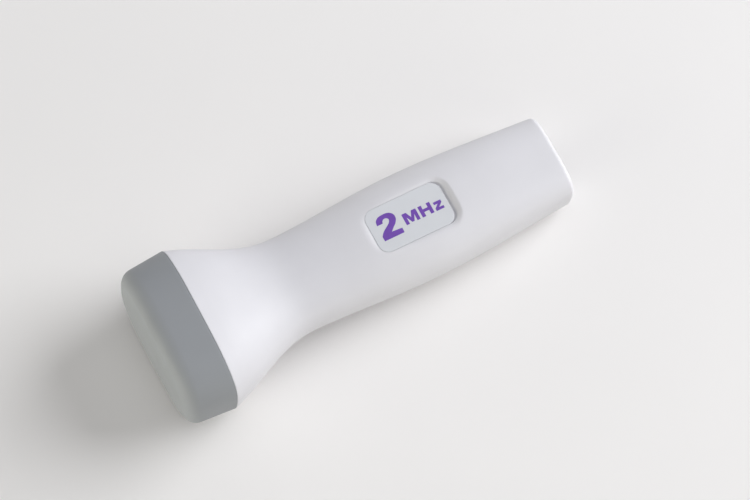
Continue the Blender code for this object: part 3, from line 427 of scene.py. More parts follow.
class Skin:
    """Rows of points that are joined into one mesh."""

    def __init__(self):
        self.points = []
        self.faces = []

    def row(self, points):
        first = len(self.points)
        self.points.extend(points)
        return list(range(first, len(self.points)))

    def join(self, row, after, endless=False):
        """Faces between two rows, which may share some of their points."""
        count = len(row)
        for k in range(count if endless else count - 1):
            n = (k + 1) % count
            corners = list(dict.fromkeys((row[k], row[n], after[n], after[k])))
            if len(corners) > 2:
                self.faces.append(corners)

    def cap(self, row):
        self.faces.append(tuple(row))

    def finish(self, name, material, sharp_angle=40.0):
        mesh = bpy.data.meshes.new(name)
        mesh.from_pydata(self.points, [], self.faces)
        bm = bmesh.new()
        bm.from_mesh(mesh)
        bmesh.ops.recalc_face_normals(bm, faces=bm.faces)
        bm.to_mesh(mesh)
        bm.free()
        return show(name, mesh, material, sharp_angle)


def show(name, mesh, material, sharp_angle=40.0, local=Matrix.Identity(4)):
    """Puts a mesh of the probe's own frame in the scene as a piece that rides on the body."""
    mesh.transform(probe_matrix() @ local)
    mesh.materials.clear()
    mesh.materials.append(material)
    mesh.shade_smooth()
    mesh.set_sharp_from_angle(angle=math.radians(sharp_angle))
    obj = bpy.data.objects.new(name, mesh)
    bpy.context.scene.collection.objects.link(obj)
    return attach(obj, BODY)


def quarter(radius, steps=EDGE_STEPS):
    """(along, inset) steps of a rounded edge, from its front face to its skin."""
    turns = spread(0, math.pi / 2, steps + 1)
    return [(radius * (1 - math.cos(a)), radius * (1 - math.sin(a))) for a in turns]


def shell_row(x, inset, side, edge):
    """Points of one half of the body at x, from the seam on the +Y side over the crown to the other seam."""
    half_w = half_width(x) - inset
    half_h = half_height(x) - inset
    exponent = squareness(x)
    skin_start = SHUT_GAP / 2 + edge
    start = math.asin((skin_start / half_h) ** (exponent / 2))
    end = math.acos((CROWN_HALF / half_w) ** (exponent / 2))
    flank = even_arc(half_w, half_h, exponent, start, end, SIDE_STEPS)
    first_y = flank[0][0]
    rounded = [(first_y - back, skin_start - edge + along) for along, back in quarter(edge)][:-1]
    crown = []
    for y in spread(CROWN_HALF, -CROWN_HALF, CROWN_STEPS + 1)[1:-1]:
        crown.append((y, half_h * (1 - (abs(y) / half_w) ** exponent) ** (1 / exponent)))
    rise = rounded + flank
    fall = [(-y, z) for y, z in rise[::-1]]
    return [(x, y, side * z) for y, z in rise + crown + fall]


def socket_row(x, grow, side, count):
    """Points around the upper or lower half of the hole for the socket."""
    half_w = SOCKET_WIDTH / 2 + FIT_GAP + grow
    half_h = SOCKET_HEIGHT / 2 + FIT_GAP + grow
    start = math.asin((SHUT_GAP / 2 / half_h) ** (HOLE_SQUARENESS / 2))
    arc = even_arc(half_w, half_h, HOLE_SQUARENESS, start, math.pi - start, count - 1)
    return [(x, y, side * max(z, SHUT_GAP / 2)) for y, z in arc]


def recess_point(x, y, height):
    """Point of the probe's frame from a point of the recess's own frame, on its tilted floor."""
    floor_z = half_height(RECESS_X) - RECESS_DEPTH
    c = math.cos(RECESS_TILT)
    s = math.sin(RECESS_TILT)
    return (RECESS_X + x * c + height * s, y, floor_z - x * s + height * c)


def stretch_points(length, radius, count):
    """Points (along, out, turn) of one side of a rounded rectangle, between the middles of its corners.

    They are measured from the side's middle, with out counted from its straight part.
    """
    straight = length - 2 * radius
    arc = radius * math.pi / 4
    total = straight + 2 * arc
    points = []
    for i in range(count):
        s = total * i / count
        if s < arc:
            turn = math.pi / 4 - s / radius
            along = -straight / 2 - radius * math.sin(turn)
        elif s > arc + straight:
            turn = -(s - arc - straight) / radius
            along = straight / 2 - radius * math.sin(turn)
        else:
            turn = 0.0
            along = -straight / 2 + s - arc
        points.append((along, -radius * (1 - math.cos(turn)), turn))
    return points


def rounded_outline(length, width, radius, long_count, short_count):
    """Points (x, y, normal x, normal y) of a rounded rectangle, clockwise from its upper left corner."""
    outline = []
    sides = ((length, width, long_count), (width, length, short_count)) * 2
    for number, (along_size, across_size, count) in enumerate(sides):
        angle = -number * math.pi / 2
        c = round(math.cos(angle))
        s = round(math.sin(angle))
        for along, out, turn in stretch_points(along_size, radius, count):
            x = along
            y = across_size / 2 + out
            nx = -math.sin(turn)
            ny = math.cos(turn)
            outline.append((x * c - y * s, x * s + y * c, nx * c - ny * s, nx * s + ny * c))
    return outline


def rear_share(x):
    """How far along the recess a point of its floor lies, from 0 at the front corners to 1 at the rear."""
    straight = FLOOR_LENGTH / 2 - FLOOR_RADIUS
    return min(max((x + straight) / (2 * straight), 0.0), 1.0)


def wall_point(x, y, nx, ny, height):
    """Point of the recess's wall over a point of its floor's outline; the rear wall flattens as it rises."""
    rise = height / RECESS_DEPTH
    slide = 2 * RECESS_SHIFT * rear_share(x) * rise ** RECESS_REAR_CURVE
    return recess_point(x + nx * RECESS_DRAFT * rise + slide, y + ny * RECESS_DRAFT * rise, height)


def mouth_height(x, y, nx, ny):
    """Height over the recess's floor at which its sloped wall meets the body's skin."""
    low = 0.0
    high = 2 * RECESS_DEPTH
    for _ in range(40):
        height = (low + high) / 2
        px, py, pz = wall_point(x, y, nx, ny, height)
        if pz < crown_height(px, py):
            low = height
        else:
            high = height
    return (low + high) / 2


def skin_point(start, dx, dy):
    """Point of the body's upper skin, at a step from another point of it."""
    x = start[0] + dx
    y = start[1] + dy
    return (x, y, crown_height(x, y))


def bend(points, share):
    """Point of a smooth curve from the first point to the last, drawn towards those between them."""
    while len(points) > 1:
        pairs = zip(points, points[1:])
        points = [tuple(blend(a, b, share) for a, b in zip(*pair)) for pair in pairs]
    return points[0]


def recess_rows(form, outline):
    """Rows of points from the skin around the recess, over its mouth and wall, to its floor."""
    floor_round = form.floor_round
    mouth_round = form.mouth_round
    columns = []
    for x, y, nx, ny in outline:
        height = mouth_height(x, y, nx, ny)

        def wall(h):
            return wall_point(x, y, nx, ny, h)

        edge = wall(height)
        out = blend(form.mouth_reach, form.rear_reach, max(0.0, nx))
        lip = skin_point(edge, nx * out, ny * out)
        corner = skin_point(edge, nx * out / 4, ny * out / 4)
        low = max(height - mouth_round, FILM_TOP)
        below = wall(low)
        toe = MOUTH_LEAN * (out - form.rear_reach)
        foot = (below[0] + nx * toe, below[1] + ny * toe, below[2])
        mouth = (lip, corner, foot, below)
        above_floor = wall(floor_round)
        on_floor = recess_point(x - nx * floor_round, y - ny * floor_round, 0.0)
        turn = (above_floor, wall(0.0), on_floor)
        column = [bend(mouth, share) for share in spread(0.0, 1.0, MOUTH_PLACES)]
        column += [wall(h) for h in spread(low, floor_round, WALL_PLACES)[1:-1]]
        column += [bend(turn, share) for share in spread(0.0, 1.0, TOE_PLACES)]
        column.append(recess_point(x - nx * 4 * floor_round, y - ny * 4 * floor_round, 0.0))
        columns.append(column)
    return [[column[i] for column in columns] for i in range(len(columns[0]))]


def add_recess(skin, rows, first, last, form):
    """Replaces the crown's plain skin between two rows by one with the recess in it."""
    border = [rows[i][CROWN_FIRST] for i in range(first, last)]
    border += [rows[last][k] for k in range(CROWN_FIRST, CROWN_LAST)]
    border += [rows[i][CROWN_LAST] for i in range(last, first, -1)]
    border += [rows[first][k] for k in range(CROWN_LAST, CROWN_FIRST, -1)]
    outline = rounded_outline(FLOOR_LENGTH, FLOOR_WIDTH, FLOOR_RADIUS, last - first, CROWN_STEPS)
    inner = recess_rows(form, outline)
    before = border
    for share in PATCH_SHARES:
        points = []
        for k, (x, y, _) in enumerate(inner[0]):
            start = skin.points[border[k]]
            px = blend(start[0], x, share)
            py = blend(start[1], y, share)
            points.append((px, py, crown_height(px, py)))
        row = skin.row(points)
        skin.join(before, row, endless=True)
        before = row
    for points in inner:
        row = skin.row(points)
        skin.join(before, row, endless=True)
        before = row
    skin.cap(before)


def make_shell(name, side, form, material):
    """One half of the handle: outer skin, rear end with the socket's hole, and inner skin."""
    edge = form.edge_round
    start = RIM_X + SHUT_GAP / 2
    seat_inset = WALL - SEAL_CORD - FIT_GAP
    seat_x = RIM_X + SEAL_CORD + 1.5 * FIT_GAP
    mouth_x = RECESS_X + RECESS_SHIFT
    patch_start = mouth_x - RECESS_LENGTH / 2 - RECESS_MARGIN
    patch_end = mouth_x + RECESS_LENGTH / 2 + RECESS_MARGIN

    path = [(seat_x, seat_inset), (start, seat_inset)]
    path += [(start + along, inset) for along, inset in quarter(edge)]
    skin_xs = spread(start + edge, FLARE_X, HEAD_PLACES)[1:]
    skin_xs += spread(FLARE_X, NECK_X, NECK_PLACES)[1:]
    skin_xs += spread(NECK_X, patch_start, GRIP_PLACES)[1:]
    first = len(path) + len(skin_xs) - 1
    skin_xs += spread(patch_start, patch_end, RECESS_PLACES)[1:]
    last = len(path) + len(skin_xs) - 1
    skin_xs += spread(patch_end, BODY_LENGTH - REAR_FILLET, REAR_PLACES)[1:]
    path += [(x, 0.0) for x in skin_xs]
    path += [(BODY_LENGTH - along, inset) for along, inset in quarter(REAR_FILLET, REAR_STEPS)[::-1]][1:]

    skin = Skin()
    rows = [skin.row(shell_row(x, inset, side, edge)) for x, inset in path]
    count = len(rows[0])
    rim = shell_row(BODY_LENGTH, REAR_FILLET, side, edge)
    for share in REAR_SHARES:
        hole = socket_row(BODY_LENGTH, edge, side, count)
        rows.append(skin.row([tuple(Vector(a).lerp(b, share)) for a, b in zip(rim, hole)]))
    for along, inset in quarter(edge):
        rows.append(skin.row(socket_row(BODY_LENGTH - along, inset, side, count)))
    inner_x = BODY_LENGTH - REAR_WALL
    rows.append(skin.row(socket_row(inner_x, 0.0, side, count)))
    # Inner skin from the rear wall to the seal's seat, with a third of the outer skin's rows
    inner_xs = [x for x in skin_xs if seat_x + edge < x < inner_x - edge][::-3]
    for x in [inner_x, *inner_xs, seat_x]:
        points = shell_row(x, WALL, side, edge)
        if side > 0 and abs(x - mouth_x) < RECESS_LENGTH / 2 + PAD_MARGIN:
            pad_z = recess_point(x - RECESS_X, 0, -RECESS_FLOOR)[2]
            points = [(px, py, min(pz, pad_z)) for px, py, pz in points]
        rows.append(skin.row(points))

    for i, row in enumerate(rows):
        after = rows[(i + 1) % len(rows)]
        if side > 0 and first <= i < last:
            skin.join(row[:CROWN_FIRST + 1], after[:CROWN_FIRST + 1])
            skin.join(row[CROWN_LAST:], after[CROWN_LAST:])
        else:
            skin.join(row, after)
    if side > 0:
        add_recess(skin, rows, first, last, form)
    skin.cap([row[0] for row in rows])
    skin.cap([row[-1] for row in rows])
    return skin.finish(name, material)


def cap_ring(x, inset, section_x=None):
    """Closed ring of evenly spaced points at x, around the body's section there or at section_x."""
    at = x if section_x is None else section_x
    half_w = half_width(at) - inset
    half_h = half_height(at) - inset
    ring = even_arc(half_w, half_h, squareness(at), 0, 2 * math.pi, CAP_STEPS)
    return [(x, y, z) for y, z in ring[:-1]]


def face_ring(along, inset):
    """Ring of the rounding around the face, which is longer at its top and underside than at its ends."""
    half_w = half_width(along) - inset
    half_h = half_height(along) - inset
    ring = []
    for _, y, z in cap_ring(along, inset):
        x = along * blend(1.0, FACE_ROLL / FACE_FILLET, (z / half_h) ** 2)
        ring.append((x, y * (half_width(x) - inset) / half_w, z * (half_height(x) - inset) / half_h))
    return ring


def make_cap(form, material):
    """Nose cap: flat acoustic face, rounded rim, spigot and bore."""
    edge = form.edge_round
    end = RIM_X - SHUT_GAP / 2
    spigot_end = RIM_X + SPIGOT_LENGTH
    spigot_inset = WALL + FIT_GAP
    bore_inset = spigot_inset + SPIGOT_WALL
    rings = [cap_ring(0.0, FACE_FILLET + inset) for inset in FACE_RINGS]
    rings += [face_ring(along, inset) for along, inset in quarter(FACE_FILLET, FACE_STEPS)]
    rings += [cap_ring(x, 0.0) for x in spread(FACE_ROLL, end - edge, CAP_PLACES)[1:]]
    rings += [cap_ring(end - along, inset) for along, inset in quarter(edge)[::-1]][1:]
    rings.append(cap_ring(end, spigot_inset))
    rings += [cap_ring(x, spigot_inset) for x in spread(end, spigot_end - edge, SPIGOT_PLACES)[1:]]
    rings.append(cap_ring(spigot_end, spigot_inset + edge))
    rings.append(cap_ring(spigot_end, bore_inset))
    rings.append(cap_ring(FACE_THICKNESS, bore_inset, spigot_end))
    skin = Skin()
    rows = [skin.row(ring) for ring in rings]
    for row, after in zip(rows, rows[1:]):
        skin.join(row, after, endless=True)
    skin.cap(rows[0])
    skin.cap(rows[-1])
    return skin.finish("nose_cap_moulding", material, 30.0)


def make_film(form, material):
    """Label film that fills the recess up to its walls, but for a wider gap at the rear wall."""
    rounding = form.film_round
    base = FILM_TOP - FILM_THICKNESS
    gap = SHUT_GAP
    length = FLOOR_LENGTH - 2 * gap
    outline = rounded_outline(length, FLOOR_WIDTH - 2 * gap, FLOOR_RADIUS - gap, *FILM_STEPS)
    skin = Skin()
    rows = []
    steps = [(0.0, base)] + [(inset, FILM_TOP - along) for along, inset in quarter(rounding)[::-1]]
    steps.append((rounding + FILM_BAND, FILM_TOP))
    for inset, height in steps:
        points = []
        for x, y, nx, ny in outline:
            rear = max(0.0, nx)
            shrink = inset + blend(-RECESS_DRAFT * height / RECESS_DEPTH, FIT_GAP, rear)
            points.append(recess_point(x - nx * shrink, y - ny * shrink, height))
        rows.append(skin.row(points))
    for row, after in zip(rows, rows[1:]):
        skin.join(row, after, endless=True)
    skin.cap(rows[0])
    skin.cap(rows[-1])
    return skin.finish("label_film", material)


# Outlines of the print: x and y in shares of the glyph's height, "o" for a round point and "+" for a corner
FIGURE_TWO = (
    (0.020, 0.000, "+"), (0.020, 0.190, "+"), (0.130, 0.330, "o"), (0.330, 0.470, "o"), (0.515, 0.620, "o"),
    (0.540, 0.720, "o"), (0.430, 0.795, "o"), (0.310, 0.745, "o"), (0.272, 0.650, "+"), (0.030, 0.650, "+"),
    (0.100, 0.860, "o"), (0.420, 0.970, "o"), (0.735, 0.885, "o"), (0.812, 0.700, "o"), (0.730, 0.500, "o"),
    (0.560, 0.345, "o"), (0.430, 0.225, "+"), (0.840, 0.195, "+"), (0.840, 0.000, "+"),
)
LETTER_M = (
    (0.00, 0.00, "+"), (0.00, 1.00, "+"), (0.40, 1.00, "+"), (0.64, 0.46, "+"), (0.88, 1.00, "+"),
    (1.28, 1.00, "+"), (1.28, 0.00, "+"), (0.99, 0.00, "+"), (0.99, 0.60, "+"), (0.74, 0.06, "+"),
    (0.54, 0.06, "+"), (0.29, 0.60, "+"), (0.29, 0.00, "+"),
)
LETTER_H = (
    (0.00, 0.00, "+"), (0.00, 1.00, "+"), (0.31, 1.00, "+"), (0.31, 0.64, "+"), (0.77, 0.64, "+"),
    (0.77, 1.00, "+"), (1.08, 1.00, "+"), (1.08, 0.00, "+"), (0.77, 0.00, "+"), (0.77, 0.38, "+"),
    (0.31, 0.38, "+"), (0.31, 0.00, "+"),
)
LETTER_Z = (
    (0.00, 0.00, "+"), (0.00, 0.23, "+"), (0.36, 0.55, "+"), (0.03, 0.55, "+"), (0.03, 0.78, "+"),
    (0.72, 0.78, "+"), (0.72, 0.56, "+"), (0.35, 0.23, "+"), (0.74, 0.23, "+"), (0.74, 0.00, "+"),
)


def make_glyph(name, outline, height, left, foot, form, material):
    """One printed sign, as a thin solid of ink on the film."""
    curve = bpy.data.curves.new(name, "CURVE")
    curve.dimensions = "2D"
    curve.fill_mode = "BOTH"
    curve.resolution_u = 10
    curve.extrude = form.ink_thickness / 2
    spline = curve.splines.new("BEZIER")
    spline.bezier_points.add(len(outline) - 1)
    for point, (x, y, kind) in zip(spline.bezier_points, outline):
        point.co = (x * height, y * height, 0)
        handle = "AUTO" if kind == "o" else "VECTOR"
        point.handle_left_type = handle
        point.handle_right_type = handle
    spline.use_cyclic_u = True
    source = bpy.data.objects.new(name + "_outline", curve)
    bpy.context.scene.collection.objects.link(source)
    graph = bpy.context.evaluated_depsgraph_get()
    mesh = bpy.data.meshes.new_from_object(source.evaluated_get(graph))
    bpy.data.objects.remove(source)
    bpy.data.curves.remove(curve)
    bm = bmesh.new()
    bm.from_mesh(mesh)
    bmesh.ops.remove_doubles(bm, verts=bm.verts, dist=0.000001)
    bmesh.ops.recalc_face_normals(bm, faces=bm.faces)
    bm.to_mesh(mesh)
    bm.free()
    mesh.name = name
    lift = FILM_TOP + form.ink_thickness / 2
    place = Matrix.Translation(recess_point(left, foot, lift)) @ Matrix.Rotation(RECESS_TILT, 4, "Y")
    return show(name, mesh, material, local=place)


def make_print(form, material):
    """The working frequency, read from the head towards the rear end."""
    left = RECESS_SHIFT + FIGURE_LEFT
    make_glyph("print_figure", FIGURE_TWO, form.figure_height, left, FIGURE_FOOT, form, material)
    left = RECESS_SHIFT + LETTERS_LEFT
    for name, outline in (("print_m", LETTER_M), ("print_h", LETTER_H), ("print_z", LETTER_Z)):
        make_glyph(name, outline, form.letter_height, left, LETTERS_FOOT, form, material)
        left += max(point[0] for point in outline) * form.letter_height + LETTER_SPACE


def rounded_corners(corners, radius, steps=3):
    """Outline through the corners, with each of them rounded."""
    outline = []
    for i, corner in enumerate(corners):
        here = Vector(corner)
        start = here + (Vector(corners[i - 1]) - here).normalized() * radius
        end = here + (Vector(corners[(i + 1) % len(corners)]) - here).normalized() * radius
        outline += [bend((start, here, end), k / steps) for k in range(steps + 1)]
    return outline


def plug_outline(grow):
    """Section of the plug's room with the latch channel under it, as (y, z)."""
    ceiling = SOCKET_HEIGHT / 2 - SOCKET_WALL + grow
    ledge = SOCKET_HEIGHT / 2 - SOCKET_WALL - PLUG_HEIGHT - grow
    keel = ledge - LATCH_HEIGHT
    plug = PLUG_WIDTH / 2 + grow
    latch = LATCH_WIDTH / 2 + grow
    corners = (
        (plug, ledge), (plug, ceiling), (-plug, ceiling), (-plug, ledge),
        (-latch, ledge), (-latch, keel), (latch, keel), (latch, ledge),
    )
    return rounded_corners(corners, PLUG_CORNER)


def block_outline(shrink):
    """Section of the socket's outer block, as (y, z)."""
    y = SOCKET_WIDTH / 2 - shrink
    z = SOCKET_HEIGHT / 2 - shrink
    return rounded_corners(((y, -z), (y, z), (-y, z), (-y, -z)), SOCKET_CORNER)


def reach(outline, angle):
    """Point of an outline that lies at an angle from its middle."""
    c = math.cos(angle)
    s = math.sin(angle)
    for i, (ay, az) in enumerate(outline):
        by, bz = outline[(i + 1) % len(outline)]
        before = az * c - ay * s
        after = bz * c - by * s
        if before <= 0 < after:
            share = before / (before - after)
            return blend(ay, by, share), blend(az, bz, share)
    raise ValueError("the outline isn't closed round its middle")


def socket_angles():
    """Angles of all corners of the socket's sections and of its grooves, once round."""
    ceiling = SOCKET_HEIGHT / 2 - SOCKET_WALL
    points = plug_outline(0.0) + block_outline(0.0)
    for place in CONTACT_PLACES:
        points += [(place + side * GROOVE_HALF, ceiling) for side in GROOVE_SIDES]
    angles = sorted(math.atan2(z, y) % (2 * math.pi) for y, z in points)
    kept = [angles[0]]
    for angle in angles[1:]:
        if angle - kept[-1] > LEAST_TURN:
            kept.append(angle)
    return kept


def make_socket(form, material):
    """Moulded socket: plug room with a latch channel, lead-in, grooves for the contacts and two ears."""
    mouth = BODY_LENGTH - SOCKET_RECESS
    room_end = mouth - PLUG_DEPTH
    lead_in = form.socket_chamfer
    ear_end = BODY_LENGTH - REAR_WALL - FIT_GAP
    ceiling = SOCKET_HEIGHT / 2 - SOCKET_WALL
    angles = socket_angles()

    def block_ring(x, shrink):
        outline = block_outline(shrink)
        return [(x, *reach(outline, angle)) for angle in angles]

    def room_ring(x, grow, grooved=False):
        outline = plug_outline(grow)
        ring = []
        for angle in angles:
            y, z = reach(outline, angle)
            offset = min(abs(y - place) for place in CONTACT_PLACES)
            if grooved and z > ceiling - NEAR and offset < GROOVE_HALF:
                z += GROOVE_DEPTH
            ring.append((x, y, z))
        return ring

    def ear_row(skin, row, x):
        """Row that shares its points with the block's row, except along the two ears."""
        ears = []
        for index in row:
            _, y, z = skin.points[index]
            if abs(z) < EAR_HEIGHT / 2:
                skin.points.append((x, y + math.copysign(EAR_REACH, y), z))
                index = len(skin.points) - 1
            ears.append(index)
        return ears

    skin = Skin()
    back = skin.row(block_ring(room_end - SOCKET_BACK, 0.0))
    before_ears = skin.row(block_ring(ear_end - EAR_THICKNESS, 0.0))
    after_ears = skin.row(block_ring(ear_end, 0.0))
    rows = [back, before_ears, ear_row(skin, before_ears, ear_end - EAR_THICKNESS)]
    rows += [ear_row(skin, after_ears, ear_end), after_ears]
    rows += [skin.row(block_ring(mouth - along, inset)) for along, inset in quarter(SOCKET_EDGE, 2)[::-1]]
    rows.append(skin.row(room_ring(mouth, lead_in)))
    rows.append(skin.row(room_ring(mouth - lead_in, 0.0)))
    comb_start = mouth - COMB_LENGTH
    rows.append(skin.row(room_ring(comb_start, 0.0)))
    rows.append(skin.row(room_ring(comb_start - GROOVE_DEPTH, 0.0, grooved=True)))
    rows.append(skin.row(room_ring(room_end, 0.0, grooved=True)))
    for row, after in zip(rows, rows[1:]):
        skin.join(row, after, endless=True)
    skin.cap(rows[0])
    skin.cap(rows[-1])
    return skin.finish("socket_moulding", material, 30.0)


def add_node(tree, kind, links=None, **settings):
    """Adds a shader node, sets what settings name and links its inputs to other nodes' outputs."""
    node = tree.nodes.new(kind)
    for name, value in settings.items():
        if name in node.inputs:
            node.inputs[name].default_value = value
        else:
            setattr(node, name, value)
    for name, source in (links or {}).items():
        tree.links.new(source, node.inputs[name])
    return node


def new_material(name):
    """A new material, as (material, node tree, its shader, place on the object in metres)."""
    material = bpy.data.materials.new(name)
    material.use_nodes = True
    tree = material.node_tree
    where = add_node(tree, "ShaderNodeTexCoord").outputs["Object"]
    return material, tree, tree.nodes["Principled BSDF"], where


def cover(tree, shader, tone, height, strength, depth):
    """Gives a shader its colour, and the relief of a height pattern that is so many metres deep."""
    bump = add_node(tree, "ShaderNodeBump", {"Height": height}, Strength=strength, Distance=depth)
    tree.links.new(tone, shader.inputs["Base Color"])
    tree.links.new(bump.outputs["Normal"], shader.inputs["Normal"])


def shade(colour, factor):
    """A colour made lighter or darker, with its alpha."""
    return (*[min(1.0, channel * factor) for channel in colour[:3]], 1.0)


def two_tones(tree, vector, size, low, high, detail=3.0, spread_by=0.12):
    """Colour that drifts between two tones over patches of a real size."""
    noise = add_node(tree, "ShaderNodeTexNoise", {"Vector": vector}, Scale=1 / size, Detail=detail)
    ramp = add_node(tree, "ShaderNodeValToRGB", {"Fac": noise.outputs["Fac"]})
    ramp.color_ramp.elements[0].position = 0.5 - spread_by
    ramp.color_ramp.elements[0].color = low
    ramp.color_ramp.elements[1].position = 0.5 + spread_by
    ramp.color_ramp.elements[1].color = high
    return ramp.outputs["Color"]


def drifting_roughness(tree, vector, size, low, high):
    noise = add_node(tree, "ShaderNodeTexNoise", {"Vector": vector}, Scale=1 / size, Detail=2.0)
    limits = {"From Min": 0.3, "From Max": 0.7, "To Min": low, "To Max": high}
    span = add_node(tree, "ShaderNodeMapRange", {"Value": noise.outputs["Fac"]}, **limits)
    return span.outputs["Result"]


def moulded_abs(name, colour, grain, depth, rough_low, rough_high):
    """Injection-moulded ABS from a spark-eroded mould: an even satin skin whose grain breaks up highlights.

    The real grain is near 0.05 mm and would not show, so it is drawn coarser.
    """
    material, tree, shader, where = new_material(name)
    tone = two_tones(tree, where, 14 * MM, shade(colour, 0.985), shade(colour, 1.012))
    tree.links.new(drifting_roughness(tree, where, 5 * MM, rough_low, rough_high), shader.inputs["Roughness"])
    fine = add_node(tree, "ShaderNodeTexNoise", {"Vector": where}, Scale=1 / grain, Detail=2.0)
    cover(tree, shader, tone, fine.outputs["Fac"], 1.0, depth)
    shader.inputs["IOR"].default_value = 1.54
    return material


def label_polycarbonate(colour):
    """Polycarbonate label film with a hard satin coat: cooler and much glossier than the shell around it."""
    material, tree, shader, where = new_material("hard_coated_polycarbonate_film")
    tone = two_tones(tree, where, 6 * MM, shade(colour, 0.99), shade(colour, 1.01))
    tree.links.new(drifting_roughness(tree, where, 2 * MM, 0.20, 0.25), shader.inputs["Roughness"])
    coat = add_node(tree, "ShaderNodeTexNoise", {"Vector": where}, Scale=1 / (0.12 * MM), Detail=1.0)
    cover(tree, shader, tone, coat.outputs["Fac"], 1.0, 0.001 * MM)
    shader.inputs["IOR"].default_value = 1.58
    return material


def screen_ink(colour):
    """Screen-printed vinyl ink: an opaque flat coat with the faint weave of the printing mesh.

    The mesh's real threads are 0.12 mm apart and would not show, so they are drawn 2 pi times as coarse.
    """
    material, tree, shader, where = new_material("screen_printed_ink")
    tone = two_tones(tree, where, 1.2 * MM, shade(colour, 0.93), shade(colour, 1.06))
    thread = 0.12 * MM
    waves = []
    for direction in ("X", "Y"):
        wave = add_node(
            tree, "ShaderNodeTexWave", {"Vector": where}, wave_type="BANDS", bands_direction=direction,
            Scale=1 / (thread * 20), Distortion=0.4,
        )
        waves.append(wave.outputs["Fac"])
    weave = add_node(tree, "ShaderNodeMath", operation="ADD")
    tree.links.new(waves[0], weave.inputs[0])
    tree.links.new(waves[1], weave.inputs[1])
    cover(tree, shader, tone, weave.outputs["Value"], 0.5, 0.002 * MM)
    shader.inputs["Roughness"].default_value = 0.45
    return material


def speckled(name, colour, other, size, roughness, metallic=0.0, bump_mm=0.01, ior=1.5):
    """A plain engineering material: two near tones in patches of a real size, and a relief half as coarse."""
    material, tree, shader, where = new_material(name)
    tone = two_tones(tree, where, size, (*linear(colour), 1.0), (*linear(other), 1.0), 4.0, 0.15)
    relief = add_node(tree, "ShaderNodeTexNoise", {"Vector": where}, Scale=2 / size, Detail=3.0)
    cover(tree, shader, tone, relief.outputs["Fac"], 0.6, bump_mm * MM)
    shader.inputs["Roughness"].default_value = roughness
    shader.inputs["Metallic"].default_value = metallic
    if metallic == 0.0:
        shader.inputs["IOR"].default_value = ior
    return material


def paint_node(name, material):
    """Gives a kept node of the frame its finish and a smooth surface."""
    obj = frame["nodes"][name]
    obj.data.materials.clear()
    obj.data.materials.append(material)
    obj.data.shade_smooth()
    obj.data.set_sharp_from_angle(angle=math.radians(32))


# Finishes of the kept nodes: material, two near tones, size of their patches, roughness, metallic and nodes.
# Rubber, nylon, cork, foam, ferrite and moulded epoxy look matt, ceramics, cable and the board's mask softly
# glossy, and the plated, tinned and drawn metals bright.
INNER_FINISHES = (
    ("silicone_rubber", "#1B1B1D", "#232326", 0.8 * MM, 0.6, 0.0, ("nose_gasket",)),
    ("glass_filled_nylon", "#2A2A2D", "#353539", 0.5 * MM, 0.55, 0.0, ("crystal_carrier",)),
    ("fired_piezo_ceramic", "#C9BFA6", "#D8D0BB", 0.3 * MM, 0.4, 0.0,
     ("transmit_crystal", "receive_crystal")),
    ("pressed_cork", "#8C6239", "#B98A56", 0.9 * MM, 0.9, 0.0, ("crystal_barrier",)),
    ("open_cell_foam", "#3A3A3E", "#1C1C1F", 0.4 * MM, 0.95, 0.0, ("transmit_backing", "receive_backing")),
    ("tinned_steel", "#CFCFCB", "#BEBFBE", 1.5 * MM, 0.28, 1.0, ("shield_can",)),
    ("extruded_pvc", "#303033", "#3B3B3F", 0.6 * MM, 0.45, 0.0, ("transmit_lead", "receive_lead")),
    ("solder_masked_glass_epoxy", "#1E6B3A", "#2A8048", 0.7 * MM, 0.35, 0.0, ("circuit_board",)),
    ("transfer_moulded_epoxy", "#26262A", "#303035", 0.3 * MM, 0.6, 0.0, ("driver_chip", "receiver_chip")),
    ("sintered_ferrite", "#3A3A3E", "#2B2B2E", 0.3 * MM, 0.6, 0.0,
     ("transmit_coil_core", "receive_coil_core")),
    ("enamelled_copper_wire", "#B4652D", "#D08348", 0.25 * MM, 0.3, 1.0,
     ("transmit_coil_winding", "receive_coil_winding")),
    ("glazed_trimmer_ceramic", "#D6C9A5", "#C9BA92", 0.8 * MM, 0.3, 0.0, ("trimmer_capacitor",)),
    ("drawn_aluminium", "#D5D6D8", "#C6C8CB", 1.2 * MM, 0.3, 1.0, ("supply_capacitor",)),
    ("zinc_plated_steel", "#C4C7CB", "#B4B8BE", 0.6 * MM, 0.35, 1.0,
     ("board_screw_front", "board_screw_rear")),
    ("gold_plated_bronze", "#E2B65A", "#D3A348", 0.5 * MM, 0.22, 1.0,
     ("jack_contact_1", "jack_contact_2", "jack_contact_3", "jack_contact_4")),
)


def add_soft_lamp(name, power, colour, width, height, distance, turn, rise):
    """Oval soft lamp that faces the probe from a direction over the table."""
    light = bpy.data.lights.new(name, "AREA")
    light.shape = "ELLIPSE"
    light.size = width
    light.size_y = height
    light.energy = power
    light.color = linear(colour)
    lamp = bpy.data.objects.new(name, light)
    bpy.context.scene.collection.objects.link(lamp)
    towards = Vector((math.cos(rise) * math.cos(turn), math.cos(rise) * math.sin(turn), math.sin(rise)))
    lamp.location = towards * distance
    lamp.rotation_mode = "QUATERNION"
    lamp.rotation_quaternion = (-towards).to_track_quat("-Z", "Y")


